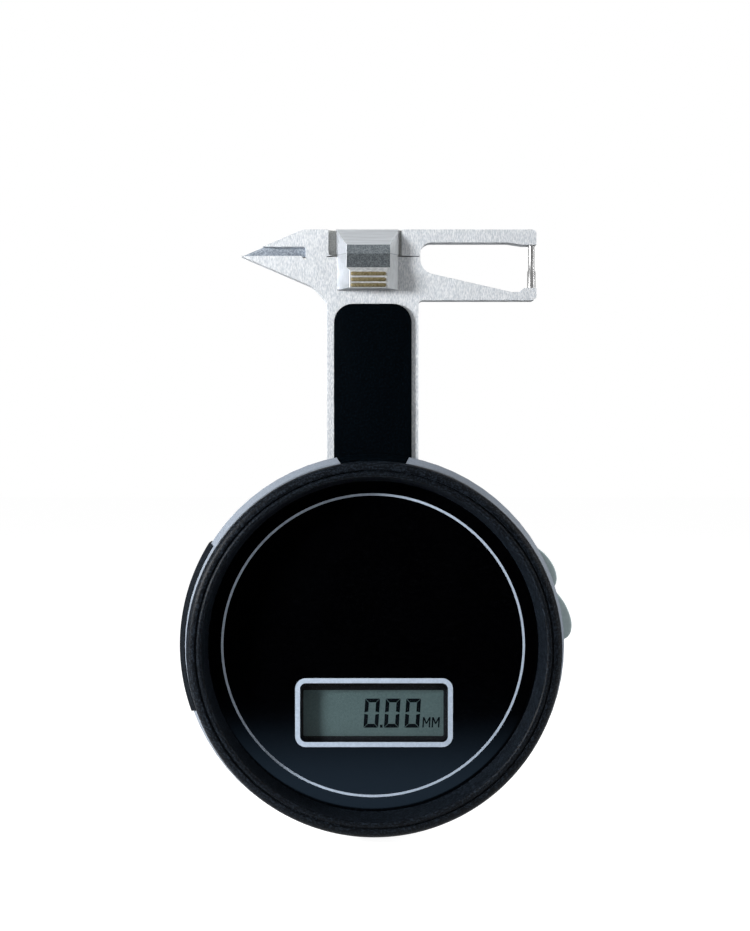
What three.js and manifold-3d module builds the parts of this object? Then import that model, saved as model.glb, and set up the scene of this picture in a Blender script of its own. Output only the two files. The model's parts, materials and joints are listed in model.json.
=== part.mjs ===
// A digital gemstone gauge: a round, puck-shaped body with a display, and a flat
// stem that carries a fixed lower jaw and a sliding upper jaw. All sizes are in
// millimetres. The gauge is modelled lying on its back: x runs to the right, y runs
// up the stem, and z is the height above the flat back face. The last group stands
// it up, so that the stem points along +Z and the display looks along -Y. The
// origin is the centre of the flat back face.

import * as THREE from 'three';
import { mergeVertices } from 'three/addons/utils/BufferGeometryUtils.js';
import Module from 'manifold-3d';

const wasm = await Module();
wasm.setup();

// Fits and facets
const overrun = 1;
const runningGap = 0.3;
const seatGap = 0.2;
const screwGap = 0.15;
const slideGap = 0.15;
const weldDistance = 0.0001;
const rimSteps = 72;
const roundSteps = 16;
const screwSteps = 12;
const curveSteps = 4;
const jawCurveSteps = 7;

// Rear housing
const housingRadius = 36;
const housingSideHeight = 11.1;
const housingChamferRun = 1.1;
const housingChamferRise = 1.9;
const housingRounding = 3.2;
const housingWall = 2.6;
const housingFloor = 1.8;
const housingBore = housingRadius - housingWall;
const housingMouthRadius = housingRadius - housingChamferRun;
const housingMouthHeight = housingSideHeight + housingChamferRise;

// Front bezel
const bezelStep = 0.25;
const bezelRadius = housingMouthRadius - bezelStep;
const bezelHeight = 19;
const bezelEdgeDrop = 1.7;
const crestInset = 2.5;
const crestRadius = bezelRadius - crestInset;
const crestRounding = 0.55;
const grooveOffset = 0.75;
const grooveWidth = 0.24;
const grooveDepth = 0.18;
const bezelRimWidth = 3.75;
const bezelMouthRadius = bezelRadius - bezelRimWidth;
const spigotDepth = 1.9;
const spigotWall = 1.1;
const spigotRadius = housingBore - seatGap;
const bezelPostRadius = 2.2;
const bezelPostInset = 3.2;
const bezelPostPlace = housingBore - bezelPostInset;
const bezelPostFoot = 4;
const bezelLugDepth = 4;

// Face panel and display
const faceThickness = 1.5;
const faceRadius = spigotRadius - spigotWall - seatGap;
const openingWidth = 27.5;
const openingHeight = 11;
const openingX = 0.2;
const openingY = -12.4;
const openingCorner = 1.25;
const displayWindowThickness = 0.7;
const displayWindowMargin = 1.3;
const lcdThickness = 1.2;
const lcdInset = 0.5;
const zebraWidth = 1.7;
const zebraInset = 1.5;

// Stem plate and jaws
const plateBack = 6.5;
const plateThickness = 3;
const plateFront = plateBack + plateThickness;
const stemRootDepth = 10.1;
const plateFoot = housingBore - stemRootDepth;
const stemHalfWidth = 8.67;
const seamHeight = 73.5;
const headHeight = 5;
const headTop = seamHeight + headHeight;
const beakReach = 24.9;
const beakSlopeShare = 3 / 7;
const lowerBeakDrop = 5.9;
const gulletDrop = 8.8;
const gulletRounding = 5;
const contactLandWidth = 4.1;
const beakLength = 12.2;
const contactLandEnd = beakLength - beakReach;
const seamRelief = 0.2;
const bladeHeight = 1.75;
const bladeDepth = 1.3;
const bladeRounding = 0.5;
const reliefSize = 0.85;
const topCornerRounding = 1;
const armReach = 31;
const armCornerRounding = 0.8;
const windowEdge = 9;
const windowRounding = 2.1;
const upperArmDepth = 2.46;
const upperLandDrop = 0.42;
const upperLandLength = 2.5;
const upperLandRun = 2.8;
const upperLand = headTop - upperArmDepth - upperLandDrop;
const lowerArmDrop = 8.4;
const lowerWindowDrop = 2.87;
const lowerWindowRounding = 3;
const lowerWindowFootRun = 0.95;
const lowerWindowFootLength = 1.45;
const lowerWindowFootDrop = 6.83;
const pinLandLength = 2.3;
const pinLandX = armReach - pinLandLength;
const pinLandDrop = 6.06;
const armpitRounding = 0.9;

// Slide bar and its channel
const barHalfWidth = 4.8;
const barThickness = 0.9;
const barBackGap = 0.05;
const barFootMargin = 6.4;
const barFoot = barFootMargin - housingBore;
const barHeadRise = 3.1;
const barHead = seamHeight + barHeadRise;
const stripThickness = 0.25;
const stripHalfWidth = 4.2;
const stripLength = 40.5;
const stripInset = 0.5;
const channelDepth = 1.4;
const channelHalfWidth = barHalfWidth + runningGap;
const barBack = plateBack + barBackGap;
const barFront = barBack + barThickness;
const sensorGap = 0.25;

// Thumb block
const pocketDepth = 1;
const pocketRounding = 0.8;
const blockLeft = -6.94;
const blockRight = 4.95;
const blockLength = 11.55;
const blockFoot = headTop - blockLength;
const pocketLeftGap = 1.46;
const pocketLeft = blockLeft - pocketLeftGap;
const pocketRightGap = 0.55;
const pocketRight = blockRight + pocketRightGap;
const blockWindowRise = 2.4;
const blockCrestRise = 3.1;
const blockLeftRun = 2.7;
const blockRightRun = 2.15;
const blockTopRun = 3.2;
const blockWindowDrop = 4.3;
const blockStepRun = 0.5;
const blockFootRun = 0.15;
const ribRadius = 0.38;
const ribPitch = 1.07;
const ribCount = 3;
const ribStart = 0.95;

// Measuring pins
const pinInset = 0.75;
const pinX = armReach - pinInset;
const pinContactDrop = 0.3;
const pinContact = seamHeight - pinContactDrop;
const thinPinRadius = 0.6;
const thickPinRadius = 0.8;
const thinPinLength = 2.2;
const pinConeLength = 0.35;
const pinSeatDepth = 1.5;
const pinFitGap = 0.1;

// Stem covers
const coverThickness = 0.5;
const coverHalfWidth = 7.35;
const coverTopDrop = 9.1;
const coverTop = seamHeight - coverTopDrop;
const coverCorner = 3.6;
const coverEdge = 0.15;
const coverRootHalfWidth = 5.7;
const coverRootFlare = 1.2;
const coverRootDepth = 2.1;
const coverRootBottom = housingRadius - coverRootDepth;
const coverFootDepth = 4.5;
const coverFoot = housingRadius - coverFootDepth;
const backCoverThickness = 1;
const backCoverFootGap = 0.4;
const backCoverFoot = housingRadius + backCoverFootGap;
const backCoverTopGap = 0.3;
const backCoverTop = seamHeight - seamRelief - backCoverTopGap;
const backCoverCorner = 0.6;

// Circuit board
const boardEdgeGap = 0.4;
const boardRadius = bezelPostPlace - bezelPostRadius - boardEdgeGap;
const boardThickness = 0.8;
const boardNotchGap = 0.7;
const boardNotchHalfWidth = stemHalfWidth + boardNotchGap;
const boardNotchFoot = plateFoot - boardNotchGap;
const boardBack = barFront + stripThickness + sensorGap;
const boardFront = boardBack + boardThickness;
const boardPostRadius = 1.8;
const boardPostShares = [[0.62, 0.62], [-0.76, 0.51], [0.69, -0.54], [-0.69, -0.54]];
const boardPosts = boardPostShares.map((shares) => shares.map((share) => share * boardRadius));
const chipSize = 8;
const chipThickness = 1.1;
const chipPlaceShare = 0.33;

// Side buttons and their switches
const buttonLow = 3.5;
const buttonHigh = 10;
const buttonTravel = 0.8;
const buttonEdge = 0.5;
const buttonFlange = 0.7;
const flangeThickness = 1;
const buttonDepth = 3.6;
const buttonPostHalfWidth = 1.2;
const buttonPostHeight = 1.6;
const buttonPostLift = 6.1;
const upperButtonTopAngle = 31;
const lowerButtonFootAngle = -2;
const buttonSplitAngle = 17;
const buttonSplitGapAngle = 0.3;
const upperButtonRise = 1.3;
const lowerButtonRise = 1.85;
const switchInset = 1;
const switchWidth = 5;
const switchDepth = 3.2;
const switchHeight = 2.4;
const plungerRadius = 0.6;
const plungerLength = 0.6;

// Side grip
const gripStartAngle = 148;
const gripEndAngle = 200;
const gripLow = 3.5;
const gripHigh = 9.9;
const gripProud = 0.45;
const gripDepth = 0.75;
const gripEdge = 0.25;

// Battery and its cap
const batteryX = 0;
const cellRadius = 10;
const cellThickness = 3.2;
const cellRimHeight = 2.6;
const cellStep = 1.1;
const capRadius = 11.2;
const capRimRadius = 10.35;
const capRimWall = 0.6;
const capRimHeight = 0.95;
const capLugReach = 1.4;
const capLugHeight = 0.8;
const capLugAngle = 30;
const capLugSides = [0, 180];
const capTurnAngle = 45;
const capSlotWidth = 1.6;
const capSlotLength = 13;
const capSlotDepth = 0.8;
const capSlotRounding = 0.5;
const cellWallGap = 0.4;
const cellWall = 1.2;
const cellWallHeight = 1.5;
const cellWallInner = capRadius + capLugReach + cellWallGap;
const batteryMargin = 4.2;
const batteryY = cellWallInner + cellWall + batteryMargin - housingBore;
const contactThickness = 0.3;
const contactWidth = 3;
const minusLegX = 8.4;
const minusLeafEnd = -2;
const plusContactLift = 1.4;
const plusContactBend = 1.6;

// Return spring, beside the screw post on its left
const springPostGap = 3.65;
const springX = bezelPostRadius + springPostGap - bezelPostPlace * Math.SQRT1_2;
const springHeight = 5.2;
const springRadius = 1.6;
const springWire = 0.35;
const springTurns = 10;
const springStepsPerTurn = 8;
const springSides = 5;
const springLength = 30;
const springTopMargin = 5.9;
const springTop = housingBore - springTopMargin;
const rodRadius = 0.7;
const rodTail = 6.5;
const rodSeatDepth = 1;
const earHalfWidth = 1.9;
const earLow = 3.2;
const earTop = springTop - springLength;
const earThickness = 1.5;
const rodFoot = earTop - rodTail;
const rodBlockHalfWidth = 2.3;
const rodBlockTop = 7.3;
const rodBlockLength = 2.4;

// Screws
const caseScrew = { head: 2, headHeight: 0.9, shank: 0.9, length: 7.6, slot: 0.5 };
const boardScrew = { head: 1.6, headHeight: 0.8, shank: 0.7, length: 3.6, slot: 0.4 };
const plateScrew = { head: 1.5, headHeight: 0.7, shank: 0.7, length: 6, slot: 0.4 };
const jawScrew = { head: 1.4, headHeight: 0.6, shank: 0.6, length: 1.7, slot: 0.35 };
const coverScrew = { head: 1.2, headHeight: 0.5, shank: 0.5, length: 2.2, slot: 0.3 };
const slotDepthShare = 0.5;
const caseScrewSink = 1.3;
const caseScrewAngles = [45, 135, 225, 315];
const sleeveRadius = 2.6;
const plateScrewEdge = 2;
const plateScrewX = stemHalfWidth - plateScrewEdge;
const plateScrewInset = 4.7;
const plateScrewY = plateFoot + plateScrewInset;
const plateBossRadius = 1.6;
const jawScrewX = 2.6;
const jawScrewRise = 1.6;
const jawScrewY = seamHeight + jawScrewRise;
const coverScrewEdge = 1.75;
const coverScrewX = stemHalfWidth - coverScrewEdge;
const coverScrewInset = 5.8;
const coverScrewLow = backCoverFoot + coverScrewInset;
const coverScrewHigh = backCoverTop - coverScrewInset;

// Closed solids from faceted forms, and meshes from solids
function solid(geometry) {
  geometry.deleteAttribute('normal');
  geometry.deleteAttribute('uv');
  const merged = mergeVertices(geometry, weldDistance);
  const corners = merged.index.array;
  const triVerts = [];
  for (let i = 0; i < corners.length; i += 3) {
    const [a, b, c] = [corners[i], corners[i + 1], corners[i + 2]];
    if (a !== b && b !== c && c !== a) {
      triVerts.push(a, b, c);
    }
  }
  const vertProperties = Float32Array.from(merged.attributes.position.array);
  return new wasm.Manifold(new wasm.Mesh({
    numProp: 3, vertProperties, triVerts: Uint32Array.from(triVerts),
  }));
}

function toGeometry(body) {
  const { vertProperties, triVerts } = body.getMesh();
  const geometry = new THREE.BufferGeometry();
  geometry.setAttribute('position', new THREE.BufferAttribute(vertProperties, 3));
  geometry.setIndex(new THREE.BufferAttribute(triVerts, 1));
  geometry.computeVertexNormals();
  return geometry;
}

function join(first, ...others) {
  return others.reduce((sum, other) => sum.add(other), first);
}

function cut(first, ...others) {
  return others.reduce((rest, other) => rest.subtract(other), first);
}

// Basic forms
function slab(outline, low, high, edge = 0, steps = curveSteps) {
  const geometry = new THREE.ExtrudeGeometry(outline, {
    depth: high - low - 2 * edge,
    bevelEnabled: edge > 0,
    bevelThickness: edge,
    bevelSize: edge,
    bevelOffset: -edge,
    bevelSegments: 2,
    curveSegments: steps,
  });
  geometry.translate(0, 0, low + edge);
  return solid(geometry);
}

function turned(profile, steps = rimSteps) {
  const points = profile.map(([radius, height]) => new THREE.Vector2(radius, height));
  const geometry = new THREE.LatheGeometry(points, steps);
  geometry.rotateX(Math.PI / 2);
  return solid(geometry);
}

function block(x0, x1, y0, y1, z0, z1) {
  const geometry = new THREE.BoxGeometry(x1 - x0, y1 - y0, z1 - z0);
  geometry.translate((x0 + x1) / 2, (y0 + y1) / 2, (z0 + z1) / 2);
  return solid(geometry);
}

function disc(x, y, radius, low, high, steps = roundSteps) {
  const geometry = new THREE.CylinderGeometry(radius, radius, high - low, steps);
  geometry.rotateX(Math.PI / 2);
  geometry.translate(x, y, (low + high) / 2);
  return solid(geometry);
}

function rodAlongStem(x, z, radius, y0, y1, steps = roundSteps) {
  const geometry = new THREE.CylinderGeometry(radius, radius, y1 - y0, steps);
  geometry.translate(x, (y0 + y1) / 2, z);
  return solid(geometry);
}

// An outline from corners given as [x, y, rounding], walked anticlockwise
function roundedOutline(corners) {
  const shape = new THREE.Shape();
  const count = corners.length;
  corners.forEach(([x, y, rounding = 0], i) => {
    const corner = new THREE.Vector2(x, y);
    const before = new THREE.Vector2(...corners[(i + count - 1) % count].slice(0, 2));
    const after = new THREE.Vector2(...corners[(i + 1) % count].slice(0, 2));
    const back = before.sub(corner).normalize();
    const on = after.sub(corner).normalize();
    const half = Math.acos(THREE.MathUtils.clamp(back.dot(on), -1, 1)) / 2;
    const start = corner.clone().addScaledVector(back, rounding / Math.tan(half));
    if (i === 0) {
      shape.moveTo(start.x, start.y);
    } else {
      shape.lineTo(start.x, start.y);
    }
    if (rounding > 0) {
      const end = corner.clone().addScaledVector(on, rounding / Math.tan(half));
      const inward = back.clone().add(on).normalize();
      const centre = corner.clone().addScaledVector(inward, rounding / Math.sin(half));
      const from = Math.atan2(start.y - centre.y, start.x - centre.x);
      const to = Math.atan2(end.y - centre.y, end.x - centre.x);
      shape.absarc(centre.x, centre.y, rounding, from, to, back.cross(on) > 0);
    }
  });
  return shape;
}

function rectangle(x0, x1, y0, y1, rounding = 0) {
  return roundedOutline([
    [x0, y0, rounding],
    [x1, y0, rounding],
    [x1, y1, rounding],
    [x0, y1, rounding],
  ]);
}

// A piece of a ring between two radii and two angles in degrees
function ringSector(inner, outer, startDegrees, endDegrees) {
  const start = THREE.MathUtils.degToRad(startDegrees);
  const end = THREE.MathUtils.degToRad(endDegrees);
  const shape = new THREE.Shape();
  const steps = Math.ceil((endDegrees - startDegrees) / 2 / curveSteps);
  for (let i = 0; i <= steps; i += 1) {
    const angle = start + (end - start) * i / steps;
    const point = [outer * Math.cos(angle), outer * Math.sin(angle)];
    if (i === 0) {
      shape.moveTo(...point);
    } else {
      shape.lineTo(...point);
    }
  }
  for (let i = steps; i >= 0; i -= 1) {
    const angle = start + (end - start) * i / steps;
    shape.lineTo(inner * Math.cos(angle), inner * Math.sin(angle));
  }
  return shape;
}

function polar(radius, degrees) {
  const angle = THREE.MathUtils.degToRad(degrees);
  return [radius * Math.cos(angle), radius * Math.sin(angle)];
}

// Places shared by the housing, the bezel and the board
const casePlaces = caseScrewAngles.map((degrees) => polar(bezelPostPlace, degrees));
const platePlaces = [[plateScrewX, plateScrewY], [-plateScrewX, plateScrewY]];
const coverPlaces = [coverScrewLow, coverScrewHigh].flatMap((y) => [[coverScrewX, y], [-coverScrewX, y]]);
const jawPlaces = [[jawScrewX, jawScrewY], [-jawScrewX, jawScrewY]];

// The middle angle of each side button
const upperButtonAngle = (upperButtonTopAngle + buttonSplitAngle) / 2;
const lowerButtonAngle = (lowerButtonFootAngle + buttonSplitAngle) / 2;

// Rear housing: a moulded cup with its bosses, the stem slot and the battery opening
function rearHousing() {
  const outer = [[0, 0]];
  for (let i = 0; i <= curveSteps; i += 1) {
    const angle = Math.PI / 2 * i / curveSteps;
    outer.push([
      housingRadius - housingRounding + housingRounding * Math.sin(angle),
      housingRounding - housingRounding * Math.cos(angle),
    ]);
  }
  outer.push(
    [housingRadius, housingSideHeight],
    [housingMouthRadius, housingMouthHeight],
    [0, housingMouthHeight],
  );
  const cavity = turned([
    [0, housingFloor],
    [housingBore, housingFloor],
    [housingBore, housingMouthHeight + overrun],
    [0, housingMouthHeight + overrun],
  ]);
  const cup = cut(turned(outer), cavity);

  const rooted = housingFloor / 2;
  const batteryWallTop = housingFloor + cellWallHeight;
  const batteryWall = cut(
    disc(batteryX, batteryY, cellWallInner + cellWall, rooted, batteryWallTop, rimSteps / 2),
    disc(batteryX, batteryY, cellWallInner, housingFloor, boardBack, rimSteps / 2),
  );
  const fittings = [
    batteryWall,
    ...boardPosts.map(([x, y]) => disc(x, y, boardPostRadius, rooted, boardBack)),
    ...platePlaces.map(([x, y]) => disc(x, y, plateBossRadius, rooted, plateBack)),
    ...casePlaces.map(([x, y]) => disc(x, y, sleeveRadius, rooted, bezelPostFoot - screwGap)),
    rodBlock(springTop, springTop + rodBlockLength),
    rodBlock(rodFoot - rodBlockLength, rodFoot),
  ];

  const openings = [
    stemSlot(),
    buttonWindow(),
    gripRecess(),
    batteryOpening(),
    ...casePlaces.map(([x, y]) => screwBore(x, y, caseScrew, caseScrewSink, bezelPostFoot)),
    ...boardPosts.map(([x, y]) => pilotBore(x, y, boardScrew, boardFront)),
    ...platePlaces.map(([x, y]) => pilotBore(x, y, plateScrew, plateFront)),
    rodAlongStem(
      springX, springHeight, rodRadius + screwGap, rodFoot - rodSeatDepth, springTop + rodSeatDepth,
    ),
  ];
  return cut(join(cup, ...fittings), ...openings);
}

function rodBlock(y0, y1) {
  const x0 = springX - rodBlockHalfWidth;
  return block(x0, x0 + 2 * rodBlockHalfWidth, y0, y1, housingFloor / 2, rodBlockTop);
}

// The root of the stem cover and its notch get wider towards the rim
function coverRootOutline(low, high, margin) {
  const flare = coverRootFlare / coverRootDepth;
  const lowHalf = coverRootHalfWidth + margin + flare * (low - coverRootBottom);
  const highHalf = coverRootHalfWidth + margin + flare * (high - coverRootBottom);
  return roundedOutline([
    [-lowHalf, low],
    [lowHalf, low],
    [highHalf, high],
    [-highHalf, high],
  ]);
}

// The slot for the stem, and the notch above it that is open to the front
function stemSlot() {
  const low = housingBore - housingWall;
  const high = housingRadius + overrun;
  const slotHalf = stemHalfWidth + runningGap;
  const slotFront = plateFront + coverThickness + runningGap;
  return join(
    block(-slotHalf, slotHalf, low, high, plateBack - runningGap, slotFront),
    slab(coverRootOutline(low, high, runningGap), plateFront, housingMouthHeight + overrun),
  );
}

function buttonWindow() {
  const inner = housingBore - overrun;
  const outer = housingRadius + overrun;
  const start = lowerButtonFootAngle - THREE.MathUtils.radToDeg(runningGap / housingBore);
  const end = upperButtonTopAngle + THREE.MathUtils.radToDeg(runningGap / housingBore);
  return slab(ringSector(inner, outer, start, end), buttonLow - runningGap, buttonHigh + runningGap);
}

function gripRecess() {
  const margin = THREE.MathUtils.radToDeg(seatGap / housingRadius);
  const sector = ringSector(
    housingRadius - gripDepth - seatGap,
    housingRadius + overrun,
    gripStartAngle - margin,
    gripEndAngle + margin,
  );
  return slab(sector, gripLow - seatGap, gripHigh + seatGap);
}

// A round opening with two notches that let the cap's lugs in
function batteryOpening() {
  const top = housingFloor + weldDistance;
  const reach = capRadius + capLugReach + runningGap;
  const halfAngle = capLugAngle / 2 + THREE.MathUtils.radToDeg(runningGap / capRadius);
  const hole = disc(batteryX, batteryY, capRadius + runningGap, -overrun, top, rimSteps / 2);
  const notches = capLugSides.map((side) => slab(
    ringSector(cellRadius, reach, side - capTurnAngle - halfAngle, side - capTurnAngle + halfAngle),
    -overrun,
    top,
  ).translate([batteryX, batteryY, 0]));
  return join(hole, ...notches);
}

// Round holes for screws: the shank's hole, and one with a sink for the head
function screwHole(x, y, screw, low, high) {
  return disc(x, y, screw.shank + screwGap, low, high, screwSteps);
}

function screwBore(x, y, screw, sink, top) {
  return join(
    disc(x, y, screw.head + runningGap, -overrun, sink),
    screwHole(x, y, screw, -overrun, top),
  );
}

function pilotBore(x, y, screw, seat) {
  return screwHole(x, y, screw, seat - screw.length - screwGap, seat + overrun);
}

// Front bezel: a turned ring with a raised crest, a spigot and four screw posts
function frontBezel() {
  const rebate = spigotRadius - spigotWall;
  const edge = bezelHeight - bezelEdgeDrop;
  const groove = crestRadius + grooveOffset;
  const profile = [
    [rebate, housingMouthHeight - spigotDepth],
    [spigotRadius, housingMouthHeight - spigotDepth],
    [spigotRadius, housingMouthHeight],
    [bezelRadius, housingMouthHeight],
  ];
  const shoulderRun = bezelRadius - groove - grooveWidth;
  const shoulderDrop = bezelEdgeDrop - grooveDepth;
  for (let i = 0; i <= curveSteps; i += 1) {
    const angle = Math.PI / 2 * i / curveSteps;
    profile.push([
      bezelRadius - shoulderRun + shoulderRun * Math.cos(angle),
      edge + shoulderDrop * Math.sin(angle),
    ]);
  }
  profile.push([groove, bezelHeight - 2 * grooveDepth]);
  for (let i = 0; i <= curveSteps; i += 1) {
    const angle = Math.PI * i / curveSteps;
    profile.push([
      crestRadius + crestRounding * Math.cos(angle),
      bezelHeight - crestRounding + crestRounding * Math.sin(angle),
    ]);
  }
  profile.push(
    [bezelMouthRadius, housingMouthHeight],
    [rebate, housingMouthHeight],
    [rebate, housingMouthHeight - spigotDepth],
  );
  const postTop = housingMouthHeight - faceThickness;
  const posts = caseScrewAngles.map((degrees) => {
    const lug = block(
      bezelPostPlace, spigotRadius - seatGap,
      -bezelPostRadius, bezelPostRadius,
      postTop - bezelLugDepth, postTop,
    );
    const post = disc(bezelPostPlace, 0, bezelPostRadius, bezelPostFoot, postTop);
    return join(post, lug).rotate([0, 0, degrees]);
  });
  const seat = caseScrewSink - screwGap + caseScrew.length;
  const bores = casePlaces.map(([x, y]) => (
    screwHole(x, y, caseScrew, bezelPostFoot - overrun, seat + runningGap)
  ));
  return cut(join(turned(profile), ...posts), ...bores);
}

// Face panel with the display opening
function openingOutline(margin) {
  return rectangle(
    openingX - openingWidth / 2 - margin,
    openingX + openingWidth / 2 + margin,
    openingY - openingHeight / 2 - margin,
    openingY + openingHeight / 2 + margin,
    openingCorner,
  );
}

function facePanel() {
  const back = housingMouthHeight - faceThickness;
  const plate = disc(0, 0, faceRadius, back, housingMouthHeight, rimSteps);
  return cut(plate, slab(openingOutline(0), back - overrun, housingMouthHeight + overrun));
}

const displayWindowFront = housingMouthHeight - faceThickness;
const lcdFront = displayWindowFront - displayWindowThickness;
const lcdBack = lcdFront - lcdThickness;

function displayWindow() {
  return slab(openingOutline(displayWindowMargin), lcdFront, displayWindowFront);
}

function lcdModule() {
  const margin = displayWindowMargin - lcdInset;
  return slab(openingOutline(margin), lcdBack, lcdFront);
}

function zebraStrip(side) {
  const halfLength = openingWidth / 2 - zebraInset;
  const middle = openingY + side * (openingHeight / 2 - zebraWidth / 2);
  return block(
    openingX - halfLength, openingX + halfLength,
    middle - zebraWidth / 2, middle + zebraWidth / 2,
    boardFront, lcdBack,
  );
}

// Main board with its notch for the stem
function mainBoard() {
  const plate = disc(0, 0, boardRadius, boardBack, boardFront, rimSteps / 2);
  const notch = block(
    -boardNotchHalfWidth, boardNotchHalfWidth,
    boardNotchFoot, boardRadius + overrun,
    boardBack - overrun, boardFront + overrun,
  );
  const holes = boardPosts.map(([x, y]) => (
    screwHole(x, y, boardScrew, boardBack - overrun, boardFront + overrun)
  ));
  return cut(plate, notch, ...holes);
}

function processorChip() {
  const low = chipPlaceShare * boardRadius - chipSize / 2;
  const high = low + chipSize;
  return block(low, high, low, high, boardFront, boardFront + chipThickness);
}

// A side-pressed switch under the board's edge, drawn along +x
function buttonSwitch() {
  const middle = buttonPostLift + buttonPostHeight / 2;
  const bodyEnd = boardRadius - switchInset;
  const plunger = new THREE.CylinderGeometry(
    plungerRadius, plungerRadius, 2 * plungerLength, roundSteps / 2,
  );
  plunger.rotateZ(Math.PI / 2);
  plunger.translate(bodyEnd, 0, middle);
  return join(
    block(
      bodyEnd - switchDepth, bodyEnd,
      -switchWidth / 2, switchWidth / 2,
      boardBack - switchHeight, boardBack,
    ),
    solid(plunger),
  );
}

// A rubber side button, drawn along +x: its cap leans towards its lower end
function sideButton(topAngle, footAngle, rise, middleAngle) {
  const local = (radius, degrees) => polar(radius, degrees - middleAngle);
  const capShares = [
    [0, -0.12], [0.12, 0.3], [0.3, 0.72], [0.5, 0.97], [0.66, 1], [0.82, 0.8], [0.94, 0.36], [1, -0.12],
  ];
  const crown = capShares.map(([along, up]) => (
    local(housingRadius + rise * up, topAngle + (footAngle - topAngle) * along)
  ));
  const inner = housingRadius - buttonDepth;
  const shape = new THREE.Shape();
  const [startX, startY] = local(inner, topAngle);
  shape.moveTo(startX, startY);
  const [footX, footY] = local(inner, footAngle);
  shape.lineTo(footX, footY);
  const [riseX, riseY] = crown[crown.length - 1];
  shape.lineTo(riseX, riseY);
  shape.splineThru(crown.slice(0, -1).reverse().map(([x, y]) => new THREE.Vector2(x, y)));
  const cap = slab(shape, buttonLow, buttonHigh, buttonEdge);

  const flangeOuter = housingBore - seatGap;
  const flangeInner = flangeOuter - flangeThickness;
  const flange = slab(
    ringSector(flangeInner, flangeOuter, footAngle - middleAngle, topAngle - middleAngle),
    buttonLow - buttonFlange - runningGap,
    buttonHigh + buttonFlange,
  );
  const switchFace = boardRadius - switchInset + plungerLength;
  const post = block(
    switchFace + buttonTravel + screwGap, flangeOuter - flangeThickness / 2,
    -buttonPostHalfWidth, buttonPostHalfWidth,
    buttonPostLift, buttonPostLift + buttonPostHeight,
  );
  return join(cap, flange, post);
}

function sideGrip() {
  const inner = housingRadius - gripDepth;
  const outer = housingRadius + gripProud;
  const sector = ringSector(inner, outer, gripStartAngle, gripEndAngle);
  return slab(sector, gripLow, gripHigh, gripEdge);
}

// Battery cap with its rim, lugs and coin slot
function batteryCap() {
  const plate = disc(0, 0, capRadius, 0, housingFloor, rimSteps / 2);
  const rimTop = housingFloor + capRimHeight;
  const rim = cut(
    disc(0, 0, capRimRadius + capRimWall, 0, rimTop, rimSteps / 2),
    disc(0, 0, capRimRadius, housingFloor, rimTop + overrun, rimSteps / 2),
  );
  const lugs = capLugSides.map((side) => slab(
    ringSector(capRimRadius, capRadius + capLugReach, side - capLugAngle / 2, side + capLugAngle / 2),
    rimTop - capLugHeight,
    rimTop,
  ));
  const slot = slab(
    rectangle(
      -capSlotLength / 2, capSlotLength / 2,
      -capSlotWidth / 2, capSlotWidth / 2,
      capSlotRounding,
    ),
    -overrun,
    capSlotDepth,
  );
  return cut(join(plate, rim, ...lugs), slot);
}

function batteryCell() {
  const low = housingFloor;
  return turned([
    [0, low],
    [cellRadius, low],
    [cellRadius, low + cellRimHeight],
    [cellRadius - cellStep, low + cellRimHeight],
    [cellRadius - cellStep, low + cellThickness],
    [0, low + cellThickness],
  ], rimSteps / 2);
}

// Battery contacts: bent strips that hang from the board
function bentStrip(outline, y) {
  const geometry = new THREE.ExtrudeGeometry(outline, { depth: contactWidth, bevelEnabled: false });
  geometry.rotateX(Math.PI / 2);
  geometry.translate(0, y + contactWidth / 2, 0);
  return solid(geometry);
}

function minusContact() {
  const low = housingFloor + cellThickness;
  const t = contactThickness;
  return bentStrip(roundedOutline([
    [batteryX + minusLeafEnd, low],
    [batteryX + minusLegX, low, t],
    [batteryX + minusLegX, boardBack],
    [batteryX + minusLegX - t, boardBack],
    [batteryX + minusLegX - t, low + t],
    [batteryX + minusLeafEnd, low + t],
  ]), batteryY);
}

function plusContact() {
  const x = batteryX + cellRadius + runningGap;
  const t = contactThickness;
  const foot = housingFloor + plusContactLift;
  const bend = foot + plusContactBend;
  return bentStrip(roundedOutline([
    [x + t, foot],
    [x + 2 * t, foot],
    [x + t, bend],
    [x + 2 * t, boardBack],
    [x + t, boardBack],
    [x, bend],
  ]), batteryY);
}

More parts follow.
